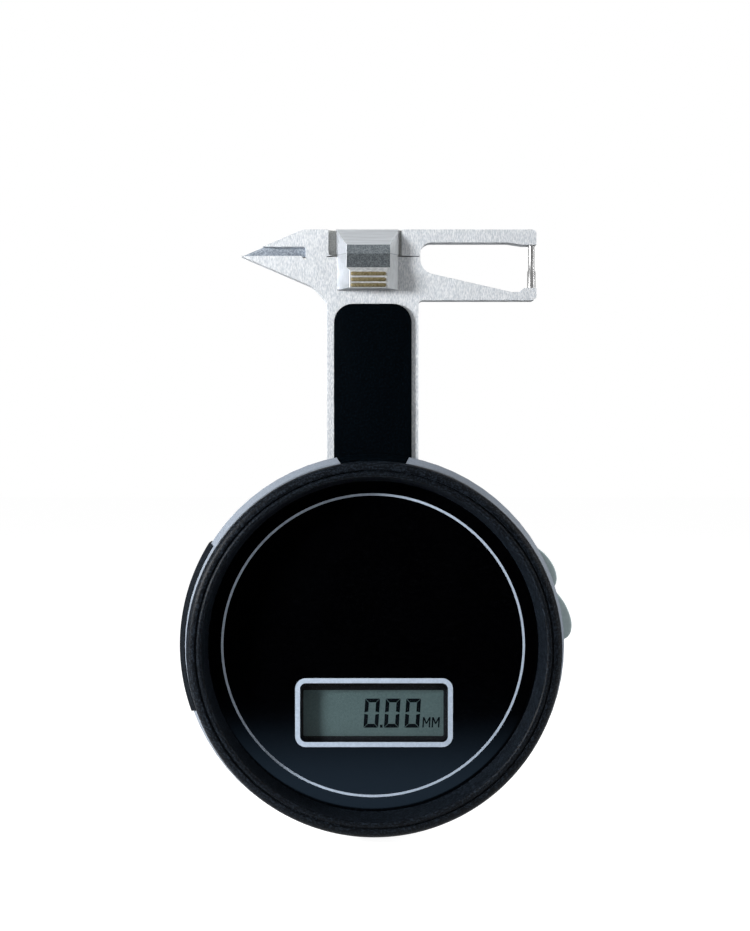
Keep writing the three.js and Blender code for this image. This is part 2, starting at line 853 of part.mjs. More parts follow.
// Lower jaw: beak, stem and lower arm in one plate, with the bar's channel behind
function lowerJaw() {
  const footEnd = pinLandX - lowerWindowFootRun;
  const outline = roundedOutline([
    [-beakReach, seamHeight, 0],
    [-beakReach + lowerBeakDrop / beakSlopeShare, seamHeight - lowerBeakDrop, gulletRounding],
    [-stemHalfWidth, seamHeight - gulletDrop, gulletRounding / 2],
    [-stemHalfWidth, plateFoot],
    [stemHalfWidth, plateFoot],
    [stemHalfWidth, seamHeight - lowerArmDrop, armpitRounding],
    [armReach, seamHeight - lowerArmDrop, armCornerRounding],
    [armReach, seamHeight - pinLandDrop, 0],
    [pinLandX, seamHeight - pinLandDrop],
    [footEnd, seamHeight - lowerWindowFootDrop],
    [footEnd - lowerWindowFootLength, seamHeight - lowerWindowFootDrop],
    [windowEdge, seamHeight - lowerWindowDrop, lowerWindowRounding],
    [windowEdge, seamHeight - seamRelief],
    [contactLandEnd + contactLandWidth, seamHeight - seamRelief],
    [contactLandEnd + contactLandWidth, seamHeight],
  ]);
  const channel = block(
    -channelHalfWidth, channelHalfWidth,
    plateFoot - overrun, headTop,
    plateBack - overrun, plateBack + channelDepth,
  );
  const relief = slab(roundedOutline([
    [contactLandEnd - 2 * reliefSize, seamHeight + reliefSize],
    [contactLandEnd, seamHeight - reliefSize],
    [contactLandEnd, seamHeight + reliefSize],
  ]), plateBack - overrun, plateFront + overrun);
  return cut(
    slab(outline, plateBack, plateFront, 0, jawCurveSteps),
    channel,
    relief,
    pinSeat(thickPinRadius, seamHeight - pinLandDrop - pinSeatDepth, seamHeight - pinLandDrop + overrun),
    ...platePlaces.map(([x, y]) => screwHole(x, y, plateScrew, plateBack - overrun, plateFront + overrun)),
    ...coverPlaces.map(([x, y]) => (
      screwHole(x, y, coverScrew, plateBack - overrun, plateBack + coverScrew.length)
    )),
  );
}

function pinSeat(radius, y0, y1) {
  return rodAlongStem(pinX, plateBack + plateThickness / 2, radius + pinFitGap, y0, y1);
}

// Upper jaw: thinned blade, stepped middle and upper arm
function upperJaw() {
  const underArm = headTop - upperArmDepth;
  const shoulderX = -beakReach + (headTop - seamHeight) / beakSlopeShare;
  const outline = roundedOutline([
    [-beakReach, seamHeight, 0],
    [contactLandEnd + contactLandWidth, seamHeight],
    [windowEdge, seamHeight],
    [windowEdge, underArm, windowRounding],
    [armReach - upperLandLength - upperLandRun, underArm],
    [armReach - upperLandLength, upperLand],
    [armReach, upperLand],
    [armReach, headTop, armCornerRounding],
    [shoulderX, headTop, topCornerRounding],
  ]);
  const bladeTop = seamHeight + bladeHeight;
  const blade = slab(roundedOutline([
    [-beakReach - overrun, seamHeight - overrun],
    [contactLandEnd, seamHeight - overrun],
    [contactLandEnd, bladeTop, bladeRounding],
    [-beakReach + bladeHeight / beakSlopeShare, bladeTop],
    [-beakReach - overrun, bladeTop],
  ]), plateFront - bladeDepth, plateFront + overrun);
  const pocket = slab(
    rectangle(pocketLeft, pocketRight, seamHeight, headTop + overrun, pocketRounding),
    plateFront - pocketDepth,
    plateFront + overrun,
  );
  const pocketSquare = block(
    pocketLeft + pocketRounding, pocketRight,
    seamHeight - overrun, headTop,
    plateFront - pocketDepth, plateFront + overrun,
  );
  const barSeat = block(
    -channelHalfWidth, channelHalfWidth,
    seamHeight - overrun, barHead + runningGap,
    plateBack - overrun, barFront,
  );
  return cut(
    slab(outline, plateBack, plateFront, 0, jawCurveSteps),
    blade,
    pocket,
    pocketSquare,
    barSeat,
    pinSeat(thinPinRadius, upperLand - overrun, upperLand + pinSeatDepth),
    ...jawPlaces.map(([x, y]) => (
      screwHole(x, y, jawScrew, plateBack - overrun, barBack + jawScrew.length + screwGap)
    )),
  );
}

// Slide bar with the ear that the return spring presses on
function slideBar() {
  const bar = block(-barHalfWidth, barHalfWidth, barFoot, barHead, barBack, barFront);
  const arm = block(springX - earHalfWidth, 0, earTop - earThickness, earTop, barBack, barFront);
  const ear = block(
    springX - earHalfWidth, springX + earHalfWidth,
    earTop - earThickness, earTop,
    earLow, barFront,
  );
  const rodHole = rodAlongStem(
    springX, springHeight, rodRadius + runningGap, earTop - earThickness - overrun, earTop + overrun,
  );
  const holes = jawPlaces.map(([x, y]) => (
    screwHole(x, y, jawScrew, barBack - overrun, barFront + overrun)
  ));
  return cut(join(bar, arm, ear), rodHole, ...holes);
}

function scaleStrip() {
  return block(
    -stripHalfWidth, stripHalfWidth,
    barFoot + stripInset, barFoot + stripInset + stripLength,
    barFront, barFront + stripThickness,
  );
}

// Thumb block: a bevelled block with a raised, ribbed thumb rest
function thumbBlock() {
  const windowTop = headTop - blockTopRun;
  const windowFoot = windowTop - blockWindowDrop;
  const windowLevel = plateFront + blockWindowRise;
  const crestLevel = plateFront + blockCrestRise;
  const underside = plateFront + slideGap;
  const side = new THREE.Shape();
  side.moveTo(headTop, plateFront - pocketDepth);
  side.lineTo(headTop, plateFront);
  side.lineTo(windowTop, windowLevel);
  side.lineTo(windowFoot, windowLevel);
  side.lineTo(windowFoot - blockStepRun, crestLevel);
  const firstRib = windowFoot - ribStart;
  for (let i = 0; i < ribCount; i += 1) {
    side.absarc(firstRib - i * ribPitch, crestLevel, ribRadius, 0, Math.PI, false);
  }
  side.lineTo(blockFoot + blockFootRun, crestLevel);
  side.lineTo(blockFoot, underside);
  side.lineTo(seamHeight + runningGap, underside);
  side.lineTo(seamHeight + runningGap, plateFront - pocketDepth);
  const profile = new THREE.ExtrudeGeometry(side, {
    depth: blockRight - blockLeft,
    bevelEnabled: false,
    curveSegments: curveSteps,
  });
  const [xAxis, yAxis, zAxis] = [0, 1, 2].map((i) => new THREE.Vector3().setComponent(i, 1));
  profile.applyMatrix4(new THREE.Matrix4().makeBasis(yAxis, zAxis, xAxis));
  profile.translate(blockLeft, 0, 0);

  const reach = blockCrestRise + ribRadius;
  const section = new THREE.Shape();
  section.moveTo(blockLeft, plateFront - pocketDepth);
  section.lineTo(blockRight, plateFront - pocketDepth);
  section.lineTo(blockRight, plateFront);
  section.lineTo(blockRight - blockRightRun * reach / blockCrestRise, plateFront + reach);
  section.lineTo(blockLeft + blockLeftRun * reach / blockCrestRise, plateFront + reach);
  section.lineTo(blockLeft, plateFront);
  const length = headTop - blockFoot + 2 * overrun;
  const bevels = new THREE.ExtrudeGeometry(section, { depth: length, bevelEnabled: false });
  bevels.rotateX(Math.PI / 2);
  bevels.translate(0, headTop + overrun, 0);
  return solid(profile).intersect(solid(bevels));
}

// Measuring pins
function upperPin() {
  const top = upperLand + pinSeatDepth;
  return rodAlongStem(0, 0, thinPinRadius, pinContact, top);
}

function lowerPin() {
  const bottom = seamHeight - pinLandDrop - pinSeatDepth;
  const coneTop = pinContact - thinPinLength;
  const profile = [
    [0, bottom],
    [thickPinRadius, bottom],
    [thickPinRadius, coneTop - pinConeLength],
    [thinPinRadius, coneTop],
    [thinPinRadius, pinContact],
    [0, pinContact],
  ].map(([radius, height]) => new THREE.Vector2(radius, height));
  return solid(new THREE.LatheGeometry(profile, roundSteps));
}

// Stem cover: the black strip on the stem, with a root that fills the housing's notch
function stemCover() {
  const strip = slab(roundedOutline([
    [-coverHalfWidth, coverFoot],
    [coverHalfWidth, coverFoot],
    [coverHalfWidth, coverTop, coverCorner],
    [-coverHalfWidth, coverTop, coverCorner],
  ]), plateFront, plateFront + coverThickness, coverEdge);
  const rootFront = housingMouthHeight - runningGap;
  const rimRadius = housingMouthRadius + housingChamferRun * runningGap / housingChamferRise;
  const root = slab(coverRootOutline(coverRootBottom, housingRadius, 0), plateFront, rootFront);
  const rim = turned([
    [0, plateFront],
    [housingRadius, plateFront],
    [housingRadius, housingSideHeight],
    [rimRadius, rootFront],
    [0, rootFront],
  ]);
  return join(strip, root.intersect(rim));
}

function stemBackCover() {
  const plate = slab(
    rectangle(
      -stemHalfWidth, stemHalfWidth,
      backCoverFoot, backCoverTop,
      backCoverCorner,
    ),
    plateBack - backCoverThickness,
    plateBack,
  );
  const holes = coverPlaces.map(([x, y]) => (
    screwHole(x, y, coverScrew, plateBack - backCoverThickness - overrun, plateBack + overrun)
  ));
  return cut(plate, ...holes);
}

// Return spring: one round wire wound along the rod
function coilSpring() {
  const bottom = earTop + springWire;
  const length = springTop - earTop - 2 * springWire;
  const steps = springTurns * springStepsPerTurn;
  const centres = [];
  const corners = [];
  for (let i = 0; i <= steps; i += 1) {
    const angle = 2 * Math.PI * i / springStepsPerTurn;
    const outward = new THREE.Vector3(Math.cos(angle), 0, -Math.sin(angle));
    const centre = outward.clone().multiplyScalar(springRadius);
    centre.y = bottom + length * i / steps;
    centres.push(centre);
    const forward = new THREE.Vector3(-Math.sin(angle), 0, -Math.cos(angle));
    forward.multiplyScalar(2 * Math.PI * springRadius);
    forward.y = length / springTurns;
    const sideways = forward.normalize().cross(outward);
    for (let j = 0; j < springSides; j += 1) {
      const around = 2 * Math.PI * j / springSides;
      corners.push(centre.clone()
        .addScaledVector(outward, springWire / 2 * Math.cos(around))
        .addScaledVector(sideways, springWire / 2 * Math.sin(around)));
    }
  }
  const index = [];
  for (let i = 0; i < steps; i += 1) {
    for (let j = 0; j < springSides; j += 1) {
      const a = i * springSides + j;
      const b = i * springSides + (j + 1) % springSides;
      index.push(a, b, b + springSides, a, b + springSides, a + springSides);
    }
  }
  for (let j = 1; j < springSides - 1; j += 1) {
    const last = steps * springSides;
    index.push(0, j + 1, j, last, last + j, last + j + 1);
  }
  let gap = Infinity;
  for (let i = 0; i + springStepsPerTurn / 2 <= steps; i += 1) {
    for (let k = i + springStepsPerTurn / 2; k <= steps; k += 1) {
      gap = Math.min(gap, centres[i].distanceTo(centres[k]) - springWire);
    }
  }
  console.log(`return spring: least gap between its turns ${gap.toFixed(2)} mm`);
  const geometry = new THREE.BufferGeometry().setFromPoints(corners);
  geometry.setIndex(index);
  return solid(geometry);
}

function springRod() {
  return rodAlongStem(0, 0, rodRadius, rodFoot - rodSeatDepth, springTop + rodSeatDepth);
}

// A slotted screw standing on its head's seat, with the shank below it
function screwBody(screw) {
  const body = turned([
    [0, -screw.length],
    [screw.shank, -screw.length],
    [screw.shank, 0],
    [screw.head, 0],
    [screw.head, screw.headHeight],
    [0, screw.headHeight],
  ], screwSteps);
  const depth = screw.headHeight * slotDepthShare;
  const reach = screw.head + overrun;
  return cut(body, block(
    -reach, reach,
    -screw.slot / 2, screw.slot / 2,
    screw.headHeight - depth, screw.headHeight + overrun,
  ));
}

// Materials
function finish(colour, roughness, metalness, extra = {}) {
  return new THREE.MeshStandardMaterial({ color: colour, roughness, metalness, ...extra });
}

const finishes = {
  housing: () => finish(0x969fae, 0.5, 0.1),
  bezel: () => finish(0x141c24, 0.75, 0),
  face: () => finish(0x05070b, 0.12, 0),
  clear: () => finish(0xe4ebee, 0.05, 0, { transparent: true, opacity: 0.4 }),
  lcd: () => finish(0x505f5c, 0.35, 0),
  rubberBlack: () => finish(0x15171a, 0.85, 0),
  rubberGrey: () => finish(0x8a9a99, 0.7, 0),
  steel: () => finish(0xd7dee6, 0.35, 0.9),
  brightSteel: () => finish(0xe6eaee, 0.2, 1),
  brass: () => finish(0xb08d3c, 0.35, 0.9),
  board: () => finish(0x1e5a3a, 0.6, 0),
  chip: () => finish(0x1a1a1c, 0.6, 0),
  zebra: () => finish(0xb9b3a8, 0.8, 0),
};

// Assembly
const bench = new THREE.Group();
bench.rotation.x = Math.PI / 2;

function place(parent, name, body, material, x = 0, y = 0, z = 0) {
  const mesh = new THREE.Mesh(toGeometry(body), material);
  mesh.name = name;
  mesh.position.set(x, y, z);
  parent.add(mesh);
  return mesh;
}

function placeScrews(parent, name, screw, places, seat, backwards = false) {
  places.forEach(([x, y], i) => {
    const mesh = place(parent, `${name}_${i + 1}`, screwBody(screw), finishes.brightSteel(), x, y, seat);
    mesh.rotation.set(backwards ? Math.PI : 0, 0, 0);
  });
}

const caseGroup = new THREE.Group();
place(caseGroup, 'rear_housing', rearHousing(), finishes.housing());
place(caseGroup, 'front_bezel', frontBezel(), finishes.bezel());
place(caseGroup, 'side_grip', sideGrip(), finishes.rubberBlack());
placeScrews(caseGroup, 'case_screw', caseScrew, casePlaces, caseScrewSink - screwGap, true);
bench.add(caseGroup);

const displayGroup = new THREE.Group();
place(displayGroup, 'face_panel', facePanel(), finishes.face());
place(displayGroup, 'display_window', displayWindow(), finishes.clear());
place(displayGroup, 'lcd_module', lcdModule(), finishes.lcd());
place(displayGroup, 'zebra_upper', zebraStrip(1), finishes.zebra());
place(displayGroup, 'zebra_lower', zebraStrip(-1), finishes.zebra());
bench.add(displayGroup);

const boardGroup = new THREE.Group();
place(boardGroup, 'main_board', mainBoard(), finishes.board());
place(boardGroup, 'processor_chip', processorChip(), finishes.chip());
place(boardGroup, 'battery_contact_minus', minusContact(), finishes.brass());
place(boardGroup, 'battery_contact_plus', plusContact(), finishes.brass());
placeScrews(boardGroup, 'board_screw', boardScrew, boardPosts, boardFront);
bench.add(boardGroup);

const buttonRows = [
  ['upper', upperButtonTopAngle, buttonSplitAngle + buttonSplitGapAngle, upperButtonRise, upperButtonAngle],
  ['lower', buttonSplitAngle - buttonSplitGapAngle, lowerButtonFootAngle, lowerButtonRise, lowerButtonAngle],
];
buttonRows.forEach(([name, top, foot, rise, angle]) => {
  const sideGroup = new THREE.Group();
  sideGroup.rotation.z = THREE.MathUtils.degToRad(angle);
  place(sideGroup, `${name}_button`, sideButton(top, foot, rise, angle), finishes.rubberGrey());
  place(sideGroup, `${name}_switch`, buttonSwitch(), finishes.chip());
  bench.add(sideGroup);
});

const batteryGroup = new THREE.Group();
batteryGroup.position.set(batteryX, batteryY, 0);
place(batteryGroup, 'battery_cap', batteryCap(), finishes.housing());
place(batteryGroup, 'battery_cell', batteryCell(), finishes.brightSteel());
bench.add(batteryGroup);

const stemGroup = new THREE.Group();
place(stemGroup, 'lower_jaw', lowerJaw(), finishes.steel());
place(stemGroup, 'stem_cover', stemCover(), finishes.bezel());
place(stemGroup, 'stem_back_cover', stemBackCover(), finishes.steel());
place(stemGroup, 'lower_pin', lowerPin(), finishes.brightSteel(), pinX, 0, plateBack + plateThickness / 2);
placeScrews(stemGroup, 'plate_screw', plateScrew, platePlaces, plateFront);
placeScrews(stemGroup, 'cover_screw', coverScrew, coverPlaces, plateBack - backCoverThickness, true);
bench.add(stemGroup);

const slideGroup = new THREE.Group();
place(slideGroup, 'upper_jaw', upperJaw(), finishes.steel());
place(slideGroup, 'slide_bar', slideBar(), finishes.steel());
place(slideGroup, 'scale_strip', scaleStrip(), finishes.brass());
place(slideGroup, 'thumb_block', thumbBlock(), finishes.brightSteel());
place(slideGroup, 'upper_pin', upperPin(), finishes.brightSteel(), pinX, 0, plateBack + plateThickness / 2);
placeScrews(slideGroup, 'jaw_screw', jawScrew, jawPlaces, barBack, true);
bench.add(slideGroup);

const springGroup = new THREE.Group();
springGroup.position.set(springX, 0, springHeight);
place(springGroup, 'return_spring', coilSpring(), finishes.brightSteel());
place(springGroup, 'spring_rod', springRod(), finishes.brightSteel());
bench.add(springGroup);

const gauge = new THREE.Group();
gauge.add(bench);

export default gauge;
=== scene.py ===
import json
import math

import bmesh
import bpy
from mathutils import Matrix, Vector


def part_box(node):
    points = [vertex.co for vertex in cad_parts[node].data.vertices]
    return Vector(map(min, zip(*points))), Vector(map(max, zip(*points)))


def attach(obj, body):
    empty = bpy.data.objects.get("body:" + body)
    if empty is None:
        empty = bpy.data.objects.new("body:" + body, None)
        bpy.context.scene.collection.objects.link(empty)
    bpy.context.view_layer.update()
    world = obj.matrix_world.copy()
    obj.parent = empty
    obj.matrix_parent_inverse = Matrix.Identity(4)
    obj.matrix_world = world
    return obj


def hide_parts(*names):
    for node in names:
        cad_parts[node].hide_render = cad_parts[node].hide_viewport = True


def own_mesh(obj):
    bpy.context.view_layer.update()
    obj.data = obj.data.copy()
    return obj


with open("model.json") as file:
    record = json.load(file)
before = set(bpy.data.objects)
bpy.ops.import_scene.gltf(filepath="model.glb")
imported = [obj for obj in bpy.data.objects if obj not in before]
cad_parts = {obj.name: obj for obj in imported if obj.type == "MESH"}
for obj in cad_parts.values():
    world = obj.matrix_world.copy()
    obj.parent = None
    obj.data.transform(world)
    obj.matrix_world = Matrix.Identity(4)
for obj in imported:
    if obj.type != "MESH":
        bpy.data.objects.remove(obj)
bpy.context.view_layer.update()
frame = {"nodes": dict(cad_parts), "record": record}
nodes = frame["nodes"]
scene = bpy.context.scene
mm = 0.001
print("frame loaded:", len(nodes), "CAD nodes")


def wire(node, inputs):
    # sets each input of a node, or links it where the value is another node's socket
    for key, value in inputs.items():
        if isinstance(value, bpy.types.NodeSocket):
            node.id_data.links.new(value, node.inputs[key])
        else:
            node.inputs[key].default_value = value


def addNode(tree, kind, inputs=None, **settings):
    node = tree.nodes.new(kind)
    for key, value in settings.items():
        setattr(node, key, value)
    wire(node, inputs or {})
    return node


def newGroup(name, kind, inputs, outputs):
    # an input has a default value, or the name of its kind of socket
    group = bpy.data.node_groups.new(name, kind)
    kinds = {float: "Float", int: "Int", tuple: "Vector"}
    for label, value in inputs.items():
        named = isinstance(value, str)
        socket = group.interface.new_socket(
            label, in_out="INPUT", socket_type="NodeSocket" + (value if named else kinds[type(value)]))
        if not named:
            socket.default_value = value
    for label, socketKind in outputs.items():
        group.interface.new_socket(label, in_out="OUTPUT", socket_type="NodeSocket" + socketKind)
    return group, group.nodes.new("NodeGroupInput"), group.nodes.new("NodeGroupOutput")


def calculate(tree, operation, *values):
    return addNode(tree, "ShaderNodeMath", dict(enumerate(values)), operation=operation).outputs[0]


def remap(tree, value, low, high, toLow, toHigh, smooth=False):
    node = addNode(tree, "ShaderNodeMapRange", {
        "Value": value, "From Min": low, "From Max": high, "To Min": toLow, "To Max": toHigh},
        interpolation_type="SMOOTHSTEP" if smooth else "LINEAR")
    return node.outputs["Result"]


def noiseMask(tree, vector, scale, detail, roughness, distortion=0.0):
    node = addNode(tree, "ShaderNodeTexNoise", {
        "Vector": vector, "Scale": scale, "Detail": detail, "Roughness": roughness,
        "Distortion": distortion})
    return node.outputs["Fac"]


def axesOf(tree, vector):
    return addNode(tree, "ShaderNodeSeparateXYZ", {0: vector}).outputs


def raysSeen(tree, *kinds):
    # 1 for the given kinds of rays, else 0
    rays = addNode(tree, "ShaderNodeLightPath").outputs
    seen = rays[kinds[0]]
    for kind in kinds[1:]:
        seen = calculate(tree, "MAXIMUM", seen, rays[kind])
    return seen


def buildSpeckle():
    # fine moulded or blasted texture: a mask of small specks and a height for the bump
    group, source, result = newGroup(
        "fineSpeckle", "ShaderNodeTree", {"Vector": "Vector", "Scale": 3000.0, "Low": 0.35, "High": 0.7},
        {"Specks": "Float", "Height": "Float"})
    given = source.outputs
    height = noiseMask(group, given["Vector"], given["Scale"], 2.0, 0.6)
    specks = remap(group, height, given["Low"], given["High"], 0.0, 1.0, True)
    wire(result, {"Specks": specks, "Height": height})
    return group


def buildDrawnLines():
    # strokes left by a brush or a cutter: short fibres, broader streaks and slow clouds
    group, source, result = newGroup(
        "drawnLines", "ShaderNodeTree", {"Vector": "Vector", "Scale": 5000.0, "Squeeze": (1.0, 1.0, 0.28)},
        {"Fibres": "Float", "Streaks": "Float", "Clouds": "Float"})
    given = source.outputs
    shaped = addNode(group, "ShaderNodeVectorMath", {
        0: given["Vector"], 1: given["Squeeze"]}, operation="MULTIPLY").outputs["Vector"]
    wire(result, {
        "Fibres": noiseMask(group, shaped, given["Scale"], 2.0, 0.55, 0.25),
        "Streaks": noiseMask(group, shaped, 1300.0, 2.0, 0.55),
        "Clouds": noiseMask(group, given["Vector"], 240.0, 2.0, 0.5)})
    return group


def buildHandling():
    # faint smears and dust from handling, for roughness and tint
    group, source, result = newGroup(
        "handlingMarks", "ShaderNodeTree", {"Vector": "Vector", "Scale": 90.0},
        {"Smears": "Float", "Dust": "Float"})
    given = source.outputs
    grains = noiseMask(group, given["Vector"], 5200.0, 1.0, 0.5)
    wire(result, {
        "Smears": noiseMask(group, given["Vector"], given["Scale"], 4.0, 0.6, 0.4),
        "Dust": remap(group, grains, 0.62, 0.74, 0.0, 1.0)})
    return group


speckleGroup = buildSpeckle()
linesGroup = buildDrawnLines()
handlingGroup = buildHandling()
smearRange = (0.3, 0.7)
cloudRange = (0.35, 0.65)


def startMaterial(name, constants):
    material = bpy.data.materials.new(name)
    material.use_nodes = True
    tree = material.node_tree
    shader = tree.nodes["Principled BSDF"]
    wire(shader, constants)
    coordinates = addNode(tree, "ShaderNodeTexCoord")
    return material, tree, shader, coordinates.outputs["Object"]


def placeGroup(tree, group, vector, inputs=None):
    return addNode(tree, "ShaderNodeGroup", {"Vector": vector, **(inputs or {})}, node_tree=group)


def mixColor(tree, factor, first, second, blend="MIX"):
    first, second = ((*value, 1.0) if isinstance(value, tuple) else value for value in (first, second))
    node = addNode(tree, "ShaderNodeMix", {0: factor}, data_type="RGBA", blend_type=blend)
    wire(node, {6: first, 7: second})
    return node.outputs[2]


def addBump(tree, shader, height, distance, strength=1.0):
    bump = addNode(tree, "ShaderNodeBump", {"Height": height, "Distance": distance, "Strength": strength})
    wire(shader, {"Normal": bump.outputs["Normal"]})


def shade(color, share):
    return tuple(share * part for part in color)


def speckledPlastic(name, dark, light, roughness, scale=3000.0, low=0.35, high=0.7, bump=0.02 * mm,
                    specular=0.5):
    material, tree, shader, where = startMaterial(name, {"Specular IOR Level": specular})
    speck = placeGroup(tree, speckleGroup, where, {"Scale": scale, "Low": low, "High": high})
    marks = placeGroup(tree, handlingGroup, where)
    wire(shader, {
        "Base Color": mixColor(tree, speck.outputs["Specks"], dark, light),
        "Roughness": remap(tree, marks.outputs["Smears"], *smearRange, roughness - 0.05, roughness + 0.06)})
    addBump(tree, shader, speck.outputs["Height"], bump)
    return material


def drawnSteel(name, light, dark, roughness, scale=5600.0, squeeze=(1.0, 1.0, 0.27), bump=0.035 * mm):
    material, tree, shader, where = startMaterial(name, {"Metallic": 0.25})
    lines = placeGroup(tree, linesGroup, where, {"Scale": scale, "Squeeze": squeeze})
    fine = mixColor(tree, remap(tree, lines.outputs["Fibres"], 0.36, 0.64, 0.0, 1.0), dark, light)
    broad = mixColor(tree, remap(tree, lines.outputs["Streaks"], 0.4, 0.62, 0.0, 1.0),
                     (0.95, 0.95, 0.95), (1.0, 1.0, 1.0))
    wire(shader, {
        "Base Color": mixColor(tree, 1.0, fine, broad, "MULTIPLY"),
        "Roughness": remap(tree, lines.outputs["Clouds"], *cloudRange, roughness - 0.02, roughness + 0.03)})
    addBump(tree, shader, lines.outputs["Fibres"], bump)
    return material


def brightSteel(name, color, roughness, smearScale=700.0):
    material, tree, shader, where = startMaterial(name, {"Metallic": 1.0})
    marks = placeGroup(tree, handlingGroup, where, {"Scale": smearScale})
    wire(shader, {
        "Base Color": mixColor(tree, marks.outputs["Smears"], shade(color, 0.82), color),
        "Roughness": remap(tree, marks.outputs["Smears"], *smearRange, roughness - 0.04, roughness + 0.08)})
    addBump(tree, shader, marks.outputs["Smears"], 0.008 * mm, 0.5)
    return material


def blastedSteel(name, light, dark, roughness, scale=4200.0, split=None, metallic=0.6):
    # a sand-blasted floor; split = (height, blur, share) makes the part below that height darker, as painted
    # shade
    material, tree, shader, where = startMaterial(name, {"Metallic": metallic})
    speck = placeGroup(tree, speckleGroup, where, {"Scale": scale, "Low": 0.36, "High": 0.66})
    color = mixColor(tree, speck.outputs["Specks"], dark, light)
    if split:
        height, blur, share = split
        below = remap(tree, axesOf(tree, where)["Z"], height - blur, height + blur, 1.0, 0.0)
        shaded = mixColor(tree, 1.0, color, (share, share, share), "MULTIPLY")
        color = mixColor(tree, below, color, shaded)
    marks = placeGroup(tree, handlingGroup, where)
    wire(shader, {
        "Base Color": color,
        "Roughness": remap(tree, marks.outputs["Smears"], *smearRange, roughness - 0.04, roughness + 0.06)})
    addBump(tree, shader, speck.outputs["Height"], 0.03 * mm)
    return material


housingGrey = speckledPlastic("housingGrey", (0.180, 0.208, 0.248), (0.224, 0.256, 0.304), 0.42, 3800.0,
                              specular=0.25)
bezelBlack = speckledPlastic("bezelBlack", (0.0012, 0.0019, 0.0031), (0.014, 0.0195, 0.0275), 0.42, 3000.0,
                             0.44, 0.68, 0.055 * mm, 0.06)
coverBlack = speckledPlastic("coverBlack", (0.0002, 0.0007, 0.0013), (0.0018, 0.0048, 0.0078), 0.6, 3600.0,
                             0.46, 0.72, 0.03 * mm, 0.012)
gripBlack = speckledPlastic("gripBlack", (0.001, 0.002, 0.0035), (0.006, 0.009, 0.013), 0.65, specular=0.06)
buttonGrey = speckledPlastic("buttonGrey", (0.34, 0.42, 0.435), (0.39, 0.475, 0.485), 0.55, 1500.0, 0.3,
                             0.75, 0.01 * mm, 0.3)
zebraRubber = speckledPlastic("zebraRubber", (0.45, 0.40, 0.35), (0.6, 0.55, 0.5), 0.7, 1600.0)
boardGreen = speckledPlastic("boardGreen", (0.010, 0.075, 0.035), (0.016, 0.11, 0.05), 0.35, 900.0)
chipBlack = speckledPlastic("chipBlack", (0.004, 0.004, 0.005), (0.012, 0.012, 0.013), 0.5)
jawSteel = drawnSteel("jawSteel", (0.84, 0.86, 0.88), (0.54, 0.585, 0.635), 0.42)
backSteel = drawnSteel("backSteel", (0.72, 0.74, 0.77), (0.5, 0.53, 0.57), 0.4)
# the blade recess floor's dark colour is painted shade of the recess
shadedRecessSteel = blastedSteel("shadedRecessSteel", (0.40, 0.45, 0.51), (0.20, 0.23, 0.275), 0.55)
pocketSteel = blastedSteel("pocketSteel", (0.86, 0.88, 0.86), (0.64, 0.66, 0.65), 0.5, metallic=0.15)
screwSteel = brightSteel("screwSteel", (0.62, 0.63, 0.65), 0.28)
pinSteel = brightSteel("pinSteel", (0.52, 0.52, 0.52), 0.26)
springSteel = brightSteel("springSteel", (0.6, 0.6, 0.6), 0.3)
brassSheet = brightSteel("brassSheet", (0.62, 0.45, 0.17), 0.32)
print("materials ready")

bodyOf = {node: body for body, members in frame["record"]["behaviour"]["bodies"].items()
          for node in members}
flatAngle = math.radians(0.3)
floorTolerance = 0.01 * mm
cadWeld = 1e-6
fineWeld = 1e-7


def mergedCopy(nodeName):
    # a welded copy of a CAD node, with its flat triangles joined into whole faces
    bm = bmesh.new()
    bm.from_mesh(nodes[nodeName].data)
    bmesh.ops.remove_doubles(bm, verts=bm.verts, dist=cadWeld)
    bmesh.ops.dissolve_limit(bm, angle_limit=flatAngle, verts=bm.verts, edges=bm.edges,
                             use_dissolve_boundaries=False)
    return bm


def addPiece(name, bm, materials, body, replaced=(), bevel=0.0, sharpAngle=30):
    mesh = bpy.data.meshes.new(name)
    bm.to_mesh(mesh)
    bm.free()
    for polygon in mesh.polygons:
        polygon.use_smooth = True
    mesh.set_sharp_from_angle(angle=math.radians(sharpAngle))
    piece = bpy.data.objects.new(name, mesh)
    scene.collection.objects.link(piece)
    for material in materials:
        mesh.materials.append(material)
    if bevel:
        rounding = piece.modifiers.new("edgeRounding", "BEVEL")
        rounding.width = bevel
        rounding.segments = 2
        rounding.limit_method = "ANGLE"
        rounding.angle_limit = math.radians(sharpAngle)
        rounding.harden_normals = True
    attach(piece, body)
    if replaced:
        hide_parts(*replaced)
    return piece


def refine(nodeName, newName, materials, bevel, floors=()):
    # floors = heights of recess floors above the back; each takes the next material
    bm = mergedCopy(nodeName)
    for face in bm.faces:
        for number, height in enumerate(floors):
            if all(abs(vert.co.y + height) < floorTolerance for vert in face.verts):
                face.material_index = number + 1
    return addPiece(newName, bm, materials, bodyOf[nodeName], (nodeName,), bevel)


refinedPieces = {
    "rear_housing": ("housingShell", housingGrey, 0.1 * mm),
    "stem_cover": ("stemCover", coverBlack, 0.0),
    "stem_back_cover": ("stemBackPlate", backSteel, 0.1 * mm),
    "upper_button": ("upperButton", buttonGrey, 0.0),
    "battery_cap": ("batteryCap", housingGrey, 0.12 * mm),
    "slide_bar": ("slideBar", backSteel, 0.05 * mm),
    "upper_pin": ("upperPin", pinSteel, 0.0),
    "lower_pin": ("lowerPin", pinSteel, 0.0)}

for nodeName, (newName, material, width) in refinedPieces.items():
    refine(nodeName, newName, [material], width)

jawPlates = {"bevel": 0.07 * mm, "bladeFloor": 8.2 * mm, "pocketFloor": 8.5 * mm}
for nodeName, newName in (("lower_jaw", "lowerJawPlate"), ("upper_jaw", "upperJawPlate")):
    refine(nodeName, newName, [jawSteel, shadedRecessSteel, pocketSteel], jawPlates["bevel"],
           (jawPlates["bladeFloor"], jawPlates["pocketFloor"]))

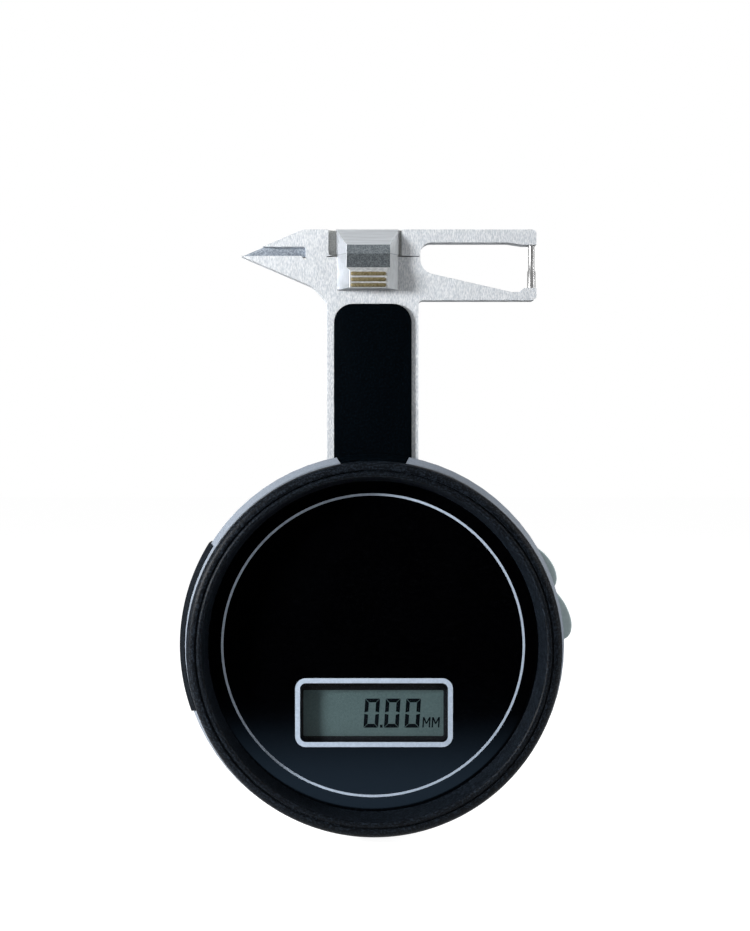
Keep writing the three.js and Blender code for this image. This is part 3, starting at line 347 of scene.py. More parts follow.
# the lower button's cap rises later than its foot and falls off bluntly; angles in degrees
lowerCap = {"foot": -2.0, "riseFrom": 1.3, "top": 16.7, "power": 1.23, "flush": 35.95 * mm,
            "blend": 0.2 * mm}


def lowerButton():
    c = lowerCap
    bm = mergedCopy("lower_button")
    for vert in bm.verts:
        radius = math.hypot(vert.co.x, vert.co.z)
        angle = math.degrees(math.atan2(vert.co.z, vert.co.x))
        along = min(1.0, max(0.0, (angle - c["foot"]) / (c["top"] - c["foot"])))
        share = min(1.0, max(0.0, (radius - c["flush"]) / c["blend"]))
        wanted = c["riseFrom"] + (c["top"] - c["riseFrom"]) * along ** c["power"]
        turned = math.radians(angle + share * (wanted - angle))
        vert.co.x, vert.co.z = radius * math.cos(turned), radius * math.sin(turned)
    return bm


addPiece("lowerButton", lowerButton(), [buttonGrey], bodyOf["lower_button"],
         ("lower_button",))

# the return spring is pressed together under its seat as the jaw slides up; here it only gets a mesh of its
# own
spring = refine("return_spring", "returnSpring", [springSteel], 0.0)
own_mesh(spring)
print("refined pieces ready")


def growMesh(name, group, base, values):
    # runs a Geometry Nodes tree on a base mesh and returns the plain mesh that it makes
    seed = bpy.data.objects.new(name + "Base", base)
    scene.collection.objects.link(seed)
    grow = seed.modifiers.new("grow", "NODES")
    grow.node_group = group
    for item in group.interface.items_tree:
        if item.item_type == "SOCKET" and item.in_out == "INPUT" and item.name in values:
            grow[item.identifier] = values[item.name]
    result = bpy.data.meshes.new_from_object(seed.evaluated_get(bpy.context.evaluated_depsgraph_get()))
    seed.modifiers.remove(grow)
    bpy.data.objects.remove(seed)
    bm = bmesh.new()
    bm.from_mesh(result)
    bmesh.ops.remove_doubles(bm, verts=bm.verts, dist=fineWeld)
    bmesh.ops.recalc_face_normals(bm, faces=bm.faces)
    for face in bm.faces:
        face.material_index = 0
    return bm


def pointsMesh(name, points, edges=()):
    mesh = bpy.data.meshes.new(name)
    mesh.from_pydata(points, edges, [])
    return mesh


def newTree(name, sizes):
    return newGroup(name, "GeometryNodeTree", {"Geometry": "Geometry", **sizes, "Material": "Material"},
                    {"Geometry": "Geometry"})


def finishTree(group, start, end, geometry):
    # every tree ends by realizing its instances and setting the material
    real = addNode(group, "GeometryNodeRealizeInstances", {0: geometry})
    painted = addNode(group, "GeometryNodeSetMaterial", {
        "Geometry": real.outputs[0], "Material": start.outputs["Material"]})
    wire(end, {0: painted.outputs[0]})


def times(group, value, factor):
    return calculate(group, "MULTIPLY", value, factor)


def moved(group, geometry, shift):
    place = addNode(group, "ShaderNodeCombineXYZ", shift)
    step = addNode(group, "GeometryNodeTransform", {"Geometry": geometry, "Translation": place.outputs[0]})
    return step.outputs[0]


def cylinder(group, vertices, radius, depth):
    node = addNode(group, "GeometryNodeMeshCylinder", {
        "Vertices": vertices, "Radius": radius, "Depth": depth})
    return node.outputs["Mesh"]


def cuboid(group, x, y, z):
    size = addNode(group, "ShaderNodeCombineXYZ", {"X": x, "Y": y, "Z": z})
    return addNode(group, "GeometryNodeMeshCube", {"Size": size.outputs[0]}).outputs["Mesh"]


def boolean(group, operation, first, second):
    node = addNode(group, "GeometryNodeMeshBoolean", operation=operation, solver="EXACT")
    wire(node, {"Mesh 1" if operation == "DIFFERENCE" else "Mesh 2": first})
    wire(node, {"Mesh 2": second})
    return node.outputs[0]


def spunInstances(group, points, instance, tilt, angle):
    # an instance on every point, tilted and then turned about its own axis
    spread = addNode(group, "GeometryNodeInstanceOnPoints", {
        "Points": points, "Instance": instance, "Rotation": tilt})
    spin = addNode(group, "ShaderNodeCombineXYZ", {"Z": angle})
    spun = addNode(group, "GeometryNodeRotateInstances", {
        "Instances": spread.outputs[0], "Rotation": spin.outputs[0], "Local Space": True})
    return spun.outputs[0]


def buildScrewTree():
    # a slotted screw on every point of the base, each turned at random about its own axis
    group, start, end = newTree("slottedScrews", {
        "Head Radius": 0.002, "Head Height": 0.0009, "Shank Radius": 0.0009, "Shank Length": 0.005,
        "Slot Width": 0.0005, "Turn": 0.0, "Seed": 0})
    size = start.outputs
    head = cylinder(group, 40, size["Head Radius"], size["Head Height"])
    raised = moved(group, head, {"Z": times(group, size["Head Height"], 0.5)})
    shank = cylinder(group, 24, size["Shank Radius"], size["Shank Length"])
    sunk = moved(group, shank, {"Z": times(group, size["Shank Length"], -0.498)})
    slot = cuboid(group, times(group, size["Head Radius"], 2.4), size["Slot Width"], size["Head Height"])
    body = boolean(group, "UNION", raised, sunk)
    screw = boolean(group, "DIFFERENCE", body, moved(group, slot, {"Z": size["Head Height"]}))
    tilt = addNode(group, "ShaderNodeCombineXYZ", {"X": size["Turn"]})
    chance = addNode(group, "FunctionNodeRandomValue", {3: math.pi, "Seed": size["Seed"]}, data_type="FLOAT")
    screws = spunInstances(group, size["Geometry"], screw, tilt.outputs[0], chance.outputs[1])
    finishTree(group, start, end, screws)
    return group


# sizes of each kind of screw in millimetres
screwBevel = 0.05 * mm
firstSeed = 3
screwSets = {
    "case_screw": {"name": "caseScrews", "count": 4, "head": 2.0, "headHeight": 0.9, "shank": 0.9,
                   "length": 7.6, "slot": 0.5, "fromBack": True},
    "board_screw": {"name": "boardScrews", "count": 4, "head": 1.6, "headHeight": 0.8, "shank": 0.7,
                    "length": 3.6, "slot": 0.4, "fromBack": False},
    "plate_screw": {"name": "plateScrews", "count": 2, "head": 1.5, "headHeight": 0.7, "shank": 0.7,
                    "length": 6.0, "slot": 0.4, "fromBack": False},
    "cover_screw": {"name": "coverScrews", "count": 4, "head": 1.2, "headHeight": 0.5, "shank": 0.5,
                    "length": 2.2, "slot": 0.3, "fromBack": True},
    "jaw_screw": {"name": "jawScrews", "count": 2, "head": 1.4, "headHeight": 0.6, "shank": 0.6,
                  "length": 1.7, "slot": 0.35, "fromBack": True}}

screwTree = buildScrewTree()
for kindNumber, (nodeStem, sizes) in enumerate(screwSets.items()):
    names = [f"{nodeStem}_{i + 1}" for i in range(sizes["count"])]
    headHeight = sizes["headHeight"] * mm
    seats = []
    for name in names:
        low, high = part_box(name)
        seatY = high.y - headHeight if sizes["fromBack"] else low.y + headHeight
        seats.append(((low.x + high.x) / 2, seatY, (low.z + high.z) / 2))
    grown = growMesh(sizes["name"], screwTree, pointsMesh(sizes["name"] + "Seats", seats), {
        "Head Radius": sizes["head"] * mm, "Head Height": headHeight, "Shank Radius": sizes["shank"] * mm,
        "Shank Length": sizes["length"] * mm, "Slot Width": sizes["slot"] * mm,
        "Turn": math.radians(-90 if sizes["fromBack"] else 90), "Seed": kindNumber + firstSeed,
        "Material": screwSteel})
    addPiece(sizes["name"], grown, [screwSteel], bodyOf[names[0]], names, screwBevel)
print("screws ready")

# the bezel is swept from its section; radii and heights in millimetres
bezel = {"rebate": 32.1, "spigot": 33.2, "spigotFoot": 11.1, "seat": 13.0, "radius": 34.65, "edge": 17.3,
         "shoulderRun": 1.51, "shoulderDrop": 1.52, "shoulderSteps": 18, "lip": 0.07, "lipSteps": 3,
         "grooveFloor": 18.5, "grooveInset": 0.02, "crest": 32.15, "crestRounding": 0.55, "crestFoot": 0.03,
         "crestSteps": 20, "top": 19.0, "mouth": 30.9, "mouthRounding": 0.25, "steps": 240,
         "postPlace": 30.2, "postRadius": 2.2, "postFoot": 4.0, "postTop": 11.5, "lugFoot": 7.5,
         "lugReach": 33.0, "boreRadius": 1.05}


def arcPoints(centre, radiusX, radiusY, start, stop, steps):
    angles = [math.radians(start + (stop - start) * i / steps) for i in range(steps + 1)]
    return [(centre[0] + radiusX * math.cos(a), centre[1] + radiusY * math.sin(a)) for a in angles]


def bezelSection():
    b = bezel
    shoulderEnd = b["radius"] - b["shoulderRun"]
    rim = b["edge"] + b["shoulderDrop"]
    crestLevel = b["top"] - b["crestRounding"]
    section = [(b["rebate"], b["spigotFoot"]), (b["spigot"], b["spigotFoot"]), (b["spigot"], b["seat"]),
               (b["radius"], b["seat"])]
    section += arcPoints((shoulderEnd, b["edge"]), b["shoulderRun"], b["shoulderDrop"], 0, 90,
                         b["shoulderSteps"])
    section += arcPoints((shoulderEnd - b["lip"], rim - b["lip"]), b["lip"], b["lip"], 90, 180,
                         b["lipSteps"])[1:]
    section += [(shoulderEnd - 2 * b["lip"] - b["grooveInset"], b["grooveFloor"]),
                (b["crest"] + b["crestRounding"] + b["crestFoot"], crestLevel)]
    section += arcPoints((b["crest"], crestLevel), b["crestRounding"], b["crestRounding"], 0, 180,
                         b["crestSteps"])
    section += [(b["mouth"] + 0.5 * b["mouthRounding"], b["seat"] + 1.5 * b["mouthRounding"]),
                (b["mouth"], b["seat"]), (b["rebate"], b["seat"])]
    return section


def buildRingTree():
    # sweeps the base, a closed section, round a circle and lays the ring's axis along -Y
    group, start, end = newTree("turnedRing", {"Ring Radius": 0.03, "Steps": 120})
    section = addNode(group, "GeometryNodeMeshToCurve", {0: start.outputs["Geometry"]})
    rail = addNode(group, "GeometryNodeCurvePrimitiveCircle", {
        "Radius": start.outputs["Ring Radius"], "Resolution": start.outputs["Steps"]})
    sweep = addNode(group, "GeometryNodeCurveToMesh", {
        "Curve": rail.outputs[0], "Profile Curve": section.outputs[0]})
    upright = addNode(group, "GeometryNodeTransform", {
        "Geometry": sweep.outputs[0], "Rotation": (math.radians(90), 0, 0)})
    finishTree(group, start, end, upright.outputs[0])
    return group


def buildPostTree():
    # a bored screw post with its lug, on every point of the base, turned to face outwards
    group, start, end = newTree("bezelPosts", {
        "Post Radius": 0.002, "Bore Radius": 0.001, "Post Length": 0.0075, "Lug Height": 0.004,
        "Lug Length": 0.003})
    size = start.outputs
    post = cylinder(group, 32, size["Post Radius"], size["Post Length"])
    hanging = moved(group, post, {"Z": times(group, size["Post Length"], -0.5)})
    lug = cuboid(group, size["Lug Length"], times(group, size["Post Radius"], 1.96), size["Lug Height"])
    lugPlace = moved(group, lug, {"X": times(group, size["Lug Length"], 0.5),
                                  "Z": times(group, size["Lug Height"], -0.498)})
    bore = cylinder(group, 24, size["Bore Radius"], times(group, size["Post Length"], 1.5))
    borePlace = moved(group, bore, {"Z": times(group, size["Post Length"], -1.077)})
    body = boolean(group, "DIFFERENCE", boolean(group, "UNION", hanging, lugPlace), borePlace)
    # the angle of each point about the gauge's axis turns its lug outwards
    where = axesOf(group, addNode(group, "GeometryNodeInputPosition").outputs[0])
    angle = calculate(group, "ARCTAN2", where["Z"], where["X"])
    posts = spunInstances(group, size["Geometry"], body, (math.radians(90), 0, 0), angle)
    finishTree(group, start, end, posts)
    return group


def bezelRing():
    b = bezel
    section = [((radius - b["crest"]) * mm, -height * mm, 0) for radius, height in bezelSection()]
    edges = [(i, (i + 1) % len(section)) for i in range(len(section))]
    ring = growMesh("bezelRing", buildRingTree(), pointsMesh("bezelSection", section, edges), {
        "Ring Radius": b["crest"] * mm, "Steps": b["steps"], "Material": bezelBlack})
    reach = b["postPlace"] * mm * math.sqrt(0.5)
    corners = [(x, -b["postTop"] * mm, z) for x in (-reach, reach) for z in (-reach, reach)]
    posts = growMesh("bezelPosts", buildPostTree(), pointsMesh("postPlaces", corners), {
        "Post Radius": b["postRadius"] * mm, "Bore Radius": b["boreRadius"] * mm,
        "Post Length": (b["postTop"] - b["postFoot"]) * mm, "Lug Height": (b["postTop"] - b["lugFoot"]) * mm,
        "Lug Length": (b["lugReach"] - b["postPlace"]) * mm, "Material": bezelBlack})
    postMesh = bpy.data.meshes.new("bezelPosts")
    posts.to_mesh(postMesh)
    posts.free()
    ring.from_mesh(postMesh)
    return ring


addPiece("bezelRing", bezelRing(), [bezelBlack], "gauge_body", ("front_bezel",),
         sharpAngle=38)
print("bezel ready")

# rubber pad on the left side; its lip laps over the housing's chamfer; millimetres and degrees
grip = {"from": 148, "to": 200, "steps": 40, "inner": 35.25, "outer": 36.42, "foot": 3.5, "edge": 0.2,
        "pocketTop": 9.9, "wall": 35.99, "shoulder": 10.7, "round": 0.5, "roundHeight": 0.85,
        "roundAngle": 62, "roundSteps": 6, "lip": (35.42, 12.40), "chamferFoot": 11.1,
        "chamferAt": (35.29, 12.31), "bevel": 0.05 * mm}


def sideGrip():
    g = grip
    section = [(g["inner"], g["foot"]), (g["outer"] - g["edge"], g["foot"]),
               (g["outer"], g["foot"] + g["edge"])]
    section += arcPoints((g["outer"] - g["round"], g["shoulder"]), g["round"], g["roundHeight"], 0,
                         g["roundAngle"], g["roundSteps"])
    section += [g["lip"], g["chamferAt"], (g["wall"], g["chamferFoot"]), (g["wall"], g["pocketTop"]),
                (g["inner"], g["pocketTop"])]
    bm = bmesh.new()
    rows = []
    for i in range(g["steps"] + 1):
        angle = math.radians(g["from"] + (g["to"] - g["from"]) * i / g["steps"])
        x, z = math.cos(angle) * mm, math.sin(angle) * mm
        rows.append([bm.verts.new((radius * x, -height * mm, radius * z)) for radius, height in section])
    for row, following in zip(rows, rows[1:]):
        for i in range(len(section)):
            j = (i + 1) % len(section)
            bm.faces.new((row[i], row[j], following[j], following[i]))
    bm.faces.new(rows[0])
    bm.faces.new(rows[-1][::-1])
    bmesh.ops.recalc_face_normals(bm, faces=bm.faces)
    return bm


addPiece("sideGrip", sideGrip(), [gripBlack], "gauge_body", ("side_grip",),
         grip["bevel"], 45)

# thumb block: lengths in millimetres, heights from the flat back; leaning, flat and slight are
# parts of a face's normal
thumb = {"left": -6.94, "right": 4.95, "top": 78.5, "foot": 66.95, "plate": 9.5, "pocket": 8.5,
         "under": 9.65, "seam": 73.8, "windowTop": 75.3, "windowFoot": 71.0, "windowLevel": 11.9,
         "stepFoot": 70.45, "crest": 12.6, "footRun": 0.15, "leftRun": 2.5, "rightRun": 2.28,
         "scribe": 73.62, "scribeHalf": 0.03, "scribeFade": 0.11, "splitBlur": 0.05, "lowerShadeShare": 0.58,
         "bevel": 0.05, "tolerance": 0.05, "leaning": 0.3, "flat": 0.99, "slight": 0.1,
         "ribRadius": 0.38, "ribPitch": 1.07, "firstRib": 69.75, "ribCount": 3, "ribLeft": -4.24,
         "ribRight": 2.42}


def blockSurface(name, color, roughness, squeeze, bump, scale=2600.0, contrast=0.06):
    # ground metal with a scribed line at the level of the seam
    material, tree, shader, where = startMaterial(name, {"Metallic": 0.85})
    lines = placeGroup(tree, linesGroup, where, {"Scale": scale, "Squeeze": squeeze})
    fine = mixColor(tree, remap(tree, lines.outputs["Fibres"], 0.38, 0.62, 0.0, 1.0),
                    shade(color, 1 - contrast), shade(color, 1 + contrast))
    above = calculate(tree, "ADD", axesOf(tree, where)["Z"], -thumb["scribe"] * mm)
    onLine = remap(tree, calculate(tree, "ABSOLUTE", above), thumb["scribeHalf"] * mm,
                   thumb["scribeFade"] * mm, 1.0, 0.0)
    dark = mixColor(tree, 1.0, fine, (0.62, 0.63, 0.64), "MULTIPLY")
    wire(shader, {
        "Base Color": mixColor(tree, onLine, fine, dark),
        "Roughness": remap(tree, lines.outputs["Clouds"], *cloudRange, roughness - 0.04, roughness + 0.06)})
    addBump(tree, shader, lines.outputs["Fibres"], bump)
    return material


def ribSurface():
    material, tree, shader, where = startMaterial("ribBrass", {"Metallic": 0.6})
    speck = placeGroup(tree, speckleGroup, where, {"Scale": 3600.0, "Low": 0.38, "High": 0.64})
    stain = placeGroup(tree, handlingGroup, where, {"Scale": 900.0})
    base = mixColor(tree, stain.outputs["Smears"], (0.075, 0.057, 0.022), (0.20, 0.162, 0.075))
    wire(shader, {
        "Base Color": mixColor(tree, remap(tree, speck.outputs["Specks"], 0.0, 1.0, 0.0, 0.5), base,
                               (0.31, 0.275, 0.165)),
        "Roughness": remap(tree, stain.outputs["Smears"], *smearRange, 0.5, 0.62)})
    addBump(tree, shader, speck.outputs["Height"], 0.04 * mm)
    return material


def thumbBlock():
    t = thumb
    profile = [(t["top"], t["pocket"]), (t["top"], t["plate"]), (t["windowTop"], t["windowLevel"]),
               (t["windowFoot"], t["windowLevel"]), (t["stepFoot"], t["crest"]),
               (t["foot"] + t["footRun"], t["crest"]), (t["foot"], t["under"]), (t["seam"], t["under"]),
               (t["seam"], t["pocket"])]
    bm = bmesh.new()
    sides = [[bm.verts.new((x * mm, -height * mm, z * mm)) for z, height in profile]
             for x in (t["left"], t["right"])]
    bm.faces.new(sides[0])
    bm.faces.new(sides[1][::-1])
    for i in range(len(profile)):
        j = (i + 1) % len(profile)
        bm.faces.new((sides[0][j], sides[0][i], sides[1][i], sides[1][j]))
    rise = t["crest"] - t["plate"]
    for edge, run, direction in ((t["left"], t["leftRun"], -1), (t["right"], t["rightRun"], 1)):
        outward = Vector((direction * rise, -run, 0)).normalized()
        cutResult = bmesh.ops.bisect_plane(
            bm, geom=bm.verts[:] + bm.edges[:] + bm.faces[:], plane_co=(edge * mm, -t["plate"] * mm, 0),
            plane_no=outward, clear_outer=True)
        rim = [item for item in cutResult["geom_cut"] if isinstance(item, bmesh.types.BMEdge)]
        bmesh.ops.contextual_create(bm, geom=rim)
    bmesh.ops.remove_doubles(bm, verts=bm.verts, dist=fineWeld)
    bmesh.ops.recalc_face_normals(bm, faces=bm.faces)
    # materials: 0 left bevel, 1 top bevel, 2 right bevel, 3 blasted window, 4 crest, step and foot bevel;
    # all are one ground metal whose colours are painted light and shade
    for face in bm.faces:
        front = -face.normal.y
        middle = face.calc_center_median() / mm
        if min(face.normal.z, front) > t["leaning"] and middle.z > t["windowTop"]:
            face.material_index = 1
        elif face.normal.x > t["leaning"]:
            face.material_index = 2
        elif front > t["flat"] and abs(middle.y + t["windowLevel"]) < t["tolerance"]:
            face.material_index = 3
        elif front > t["slight"] > abs(face.normal.x) and t["foot"] < middle.z < t["windowFoot"]:
            face.material_index = 4
    return bm


def buildRibTree():
    # a ball is pulled apart along X into a round-ended rod, and the rods stand in a row
    group, start, end = newTree("thumbRibs", {
        "Rib Radius": 0.0004, "Half Length": 0.003, "Pitch": 0.001, "Count": 3})
    size = start.outputs
    ball = addNode(group, "GeometryNodeMeshUVSphere", {
        "Segments": 24, "Rings": 15, "Radius": size["Rib Radius"]})
    lying = addNode(group, "GeometryNodeTransform", {
        "Geometry": ball.outputs["Mesh"], "Rotation": (0, math.radians(90), 0)})
    where = axesOf(group, addNode(group, "GeometryNodeInputPosition").outputs[0])
    side = calculate(group, "SIGN", where["X"])
    pull = addNode(group, "ShaderNodeCombineXYZ", {"X": times(group, side, size["Half Length"])})
    rod = addNode(group, "GeometryNodeSetPosition", {
        "Geometry": lying.outputs[0], "Offset": pull.outputs[0]})
    step = addNode(group, "ShaderNodeCombineXYZ", {"Z": times(group, size["Pitch"], -1.0)})
    row = addNode(group, "GeometryNodeMeshLine", {"Count": size["Count"], "Offset": step.outputs[0]},
                  mode="OFFSET")
    rods = addNode(group, "GeometryNodeInstanceOnPoints", {
        "Points": row.outputs[0], "Instance": rod.outputs[0]})
    places = addNode(group, "GeometryNodeInstanceOnPoints", {
        "Points": size["Geometry"], "Instance": rods.outputs[0]})
    finishTree(group, start, end, places.outputs[0])
    return group


upAndDown = (1.0, 1.0, 0.3)
# the block is one ground metal; the bevels' colours are painted light and shade: lighter on the top bevel,
# darker on the left and right bevels
blockLeftPaintedShade = blockSurface("blockLeftPaintedShade", (0.205, 0.215, 0.23), 0.35, upAndDown, 0.006 * mm)
blockTopPaintedLight = blockSurface("blockTopPaintedLight", (0.78, 0.82, 0.86), 0.32, (0.04, 1.0, 1.0), 0.012 * mm, 3200.0)
blockRightPaintedShade = blockSurface("blockRightPaintedShade", (0.37, 0.385, 0.395), 0.35, upAndDown, 0.006 * mm)
# the window's dark colour and its darker part below the scribed line are painted shade of steel seen in
# reduced light
shadedBlockWindow = blastedSteel("shadedBlockWindow", (0.24, 0.27, 0.29), (0.11, 0.13, 0.145), 0.5, 4400.0,
                           (thumb["scribe"] * mm, thumb["splitBlur"] * mm, thumb["lowerShadeShare"]))
# the crest, step and foot bevel are darkened as painted shade of the same metal
blockCrestPaintedShade = drawnSteel("blockCrestPaintedShade", (0.60, 0.615, 0.62), (0.36, 0.37, 0.375), 0.4, 5200.0,
                        (0.3, 1.0, 1.0), 0.012 * mm)
addPiece("thumbBlock", thumbBlock(), [blockLeftPaintedShade, blockTopPaintedLight, blockRightPaintedShade, shadedBlockWindow, blockCrestPaintedShade],
         "sliding_jaw", ("thumb_block",), thumb["bevel"] * mm)
ribBrass = ribSurface()
ribCentre = ((thumb["ribLeft"] + thumb["ribRight"]) / 2 * mm, -thumb["crest"] * mm, thumb["firstRib"] * mm)
ribs = growMesh("thumbRibs", buildRibTree(), pointsMesh("ribPlace", [ribCentre]), {
    "Rib Radius": thumb["ribRadius"] * mm, "Pitch": thumb["ribPitch"] * mm, "Count": thumb["ribCount"],
    "Half Length": ((thumb["ribRight"] - thumb["ribLeft"]) / 2 - thumb["ribRadius"]) * mm,
    "Material": ribBrass})
addPiece("thumbRibs", ribs, [ribBrass], "sliding_jaw", sharpAngle=60)
print("thumb block ready")

# face panel and its print, in millimetres
facePanel = {"ringRadius": 28.2, "ringWidth": 0.44, "ringCentre": (-0.06, 0.2), "ink": 0.02, "front": 13.0,
             "frameWidth": 29.5, "frameHeight": 12.85, "frameLine": 0.92, "frameCentre": (0.12, -12.42),
             "frameCorner": 2.0, "bevel": 0.05}


def glossFace():
    material, tree, shader, where = startMaterial("faceGloss", {
        "Specular IOR Level": 0.25, "Specular Tint": (0.40, 0.66, 1.0, 1)})
    marks = placeGroup(tree, handlingGroup, where, {"Scale": 120.0})
    color = mixColor(tree, marks.outputs["Smears"], (0.0001, 0.0001, 0.0002), (0.0005, 0.0005, 0.0008))
    dust = remap(tree, marks.outputs["Dust"], 0.0, 1.0, 0.0, 0.25)
    wire(shader, {
        "Base Color": mixColor(tree, dust, color, (0.012, 0.014, 0.016)),
        "Roughness": remap(tree, marks.outputs["Smears"], *smearRange, 0.07, 0.12)})
    return material


def bandBetween(outer, inner, back, front):
    # a flat closed band between two outlines of equally many (x, z) points
    bm = bmesh.new()
    rings = [[bm.verts.new((x * mm, -height * mm, z * mm)) for x, z in loop]
             for loop, height in ((inner, back), (inner, front), (outer, front), (outer, back))]
    count = len(outer)
    for ring, following in zip(rings, rings[1:] + rings[:1]):
        for i in range(count):
            j = (i + 1) % count
            bm.faces.new((ring[i], ring[j], following[j], following[i]))
    bmesh.ops.recalc_face_normals(bm, faces=bm.faces)
    return bm


def roundedOutline(width, height, corner, centre, steps=10):
    points = []
    for sideX, sideZ, start in ((1, 1, 0), (-1, 1, 90), (-1, -1, 180), (1, -1, 270)):
        middle = (centre[0] + sideX * (width / 2 - corner), centre[1] + sideZ * (height / 2 - corner))
        points += arcPoints(middle, corner, corner, start, start + 90, steps)
    return points


def circleOutline(radius, centre, steps=256):
    return arcPoints(centre, radius, radius, 0, 360 * (steps - 1) / steps, steps - 1)


def addFacePrint(name, outer, inner):
    band = bandBetween(outer, inner, facePanel["front"], facePanel["front"] + facePanel["ink"])
    addPiece(name, band, [inkBlue], "gauge_body")


def printFace():
    p = facePanel
    half, line = p["ringWidth"] / 2, p["frameLine"]
    addFacePrint("printedRing", circleOutline(p["ringRadius"] + half, p["ringCentre"]),
                 circleOutline(p["ringRadius"] - half, p["ringCentre"]))
    addFacePrint("displayFrameLine",
                 roundedOutline(p["frameWidth"], p["frameHeight"], p["frameCorner"], p["frameCentre"]),
                 roundedOutline(p["frameWidth"] - 2 * line, p["frameHeight"] - 2 * line,
                                p["frameCorner"] - line, p["frameCentre"]))


inkBlue = speckledPlastic("inkBlue", (0.38, 0.455, 0.56), (0.45, 0.53, 0.64), 0.45, 2500.0, specular=0.3)
refine("face_panel", "facePanel", [glossFace()], facePanel["bevel"] * mm)
printFace()
print("face ready")

# display: two glass plates, a printed mask and the digits, in millimetres
display = {"front": 10.7, "plateSplit": 10.15, "ledge": 0.5, "ink": 0.02, "inkStagger": 0.0004,
           "viewX": (-13.11, 13.29), "viewZ": (-17.2, -8.54), "viewCorner": 0.25, "maskMargin": 0.1,
           "maskCorner": 0.4, "digitX": (-1.80, 2.07, 5.93), "digitFoot": -15.63, "digitWidth": 2.78,
           "digitHeight": 5.49, "stroke": 0.72, "slit": 0.06, "middleGap": 0.17, "slant": 3.8,
           "pointX": 1.33, "pointWidth": 0.48, "pointHeight": 0.56, "unitX": (9.30, 11.04),
           "unitWidth": 1.46, "unitFoot": -15.6, "unitHeight": 1.95, "unitStroke": 0.26, "bevel": 0.04}


def zeroSegments(width, height, stroke, slit, gap):
    # the six lit bars of a zero, as mitred polygons
    middle = height / 2
    top = [(slit, height), (width - slit, height), (width - stroke - slit, height - stroke),
           (stroke + slit, height - stroke)]
    upper = [(0, height - slit), (stroke, height - stroke - slit), (stroke, middle + 1.8 * gap),
             (0, middle + 0.7 * gap)]
    bars = [top, upper, [(width - x, z) for x, z in upper]]
    bars += [[(x, height - z) for x, z in bar] for bar in bars]
    return bars


def unitLetter(width, height, stroke):
    # a thin capital M: two uprights and two slanted strokes that meet at the dip
    dip = 0.36 * height
    upright = [(0, 0), (stroke, 0), (stroke, height), (0, height)]
    slanted = [(0, height), (1.15 * stroke, height), (width / 2 + 0.5 * stroke, dip),
               (width / 2 - 0.5 * stroke, dip)]
    return [bar if side == 0 else [(width - x, z) for x, z in bar]
            for bar in (upright, slanted) for side in (0, 1)]


def displayDigits():
    d = display
    lean = math.tan(math.radians(d["slant"]))
    shapes = []
    for x in d["digitX"]:
        for bar in zeroSegments(d["digitWidth"], d["digitHeight"], d["stroke"], d["slit"], d["middleGap"]):
            shapes.append([(x + px + lean * pz, d["digitFoot"] + pz) for px, pz in bar])
    dot = [(0, 0), (d["pointWidth"], 0), (d["pointWidth"], d["pointHeight"]), (0, d["pointHeight"])]
    shapes.append([(d["pointX"] + px, d["digitFoot"] + pz) for px, pz in dot])
    for x in d["unitX"]:
        for bar in unitLetter(d["unitWidth"], d["unitHeight"], d["unitStroke"]):
            shapes.append([(x + px + lean * pz, d["unitFoot"] + pz) for px, pz in bar])
    bm = bmesh.new()
    for number, shape in enumerate(shapes):
        # neighbours differ a little in height, so that no two faces coincide
        top = d["front"] + d["ink"] + d["inkStagger"] * (number % 5)
        back = [bm.verts.new((x * mm, -d["front"] * mm, z * mm)) for x, z in shape]
        front = [bm.verts.new((x * mm, -top * mm, z * mm)) for x, z in shape]
        bm.faces.new(back)
        bm.faces.new(front[::-1])
        for i in range(len(shape)):
            j = (i + 1) % len(shape)
            bm.faces.new((back[j], back[i], front[i], front[j]))
    bmesh.ops.recalc_face_normals(bm, faces=bm.faces)
    return bm


def addBox(bm, low, high):
    corners = [bm.verts.new((x, y, z)) for x in (low[0], high[0]) for y in (low[1], high[1])
               for z in (low[2], high[2])]
    for face in ((0, 1, 3, 2), (4, 6, 7, 5), (0, 4, 5, 1), (2, 3, 7, 6), (0, 2, 6, 4), (1, 5, 7, 3)):
        bm.faces.new([corners[i] for i in face])


def displayGlass(low, high):
    # the rear glass, and the shorter front glass with the ledge for the contacts
    split = -display["plateSplit"] * mm
    bm = bmesh.new()
    addBox(bm, (low.x, split, low.z), (high.x, high.y, high.z))
    addBox(bm, (low.x, -display["front"] * mm, low.z + display["ledge"] * mm), (high.x, split, high.z))
    bmesh.ops.recalc_face_normals(bm, faces=bm.faces)
    return bm


def displayMask(low, high):
    # a printed border from the glass's edge to the visible field
    d = display
    (left, right), (foot, top) = d["viewX"], d["viewZ"]
    inner = roundedOutline(right - left, top - foot, d["viewCorner"], ((left + right) / 2, (foot + top) / 2))
    size = ((high.x - low.x) / mm - 2 * d["maskMargin"],
            (high.z - low.z) / mm - d["ledge"] - 2 * d["maskMargin"])
    centre = ((high.x + low.x) / 2 / mm, (high.z + low.z) / 2 / mm + d["ledge"] / 2)
    outer = roundedOutline(*size, d["maskCorner"], centre)
    return bandBetween(outer, inner, d["front"], d["front"] + d["ink"])


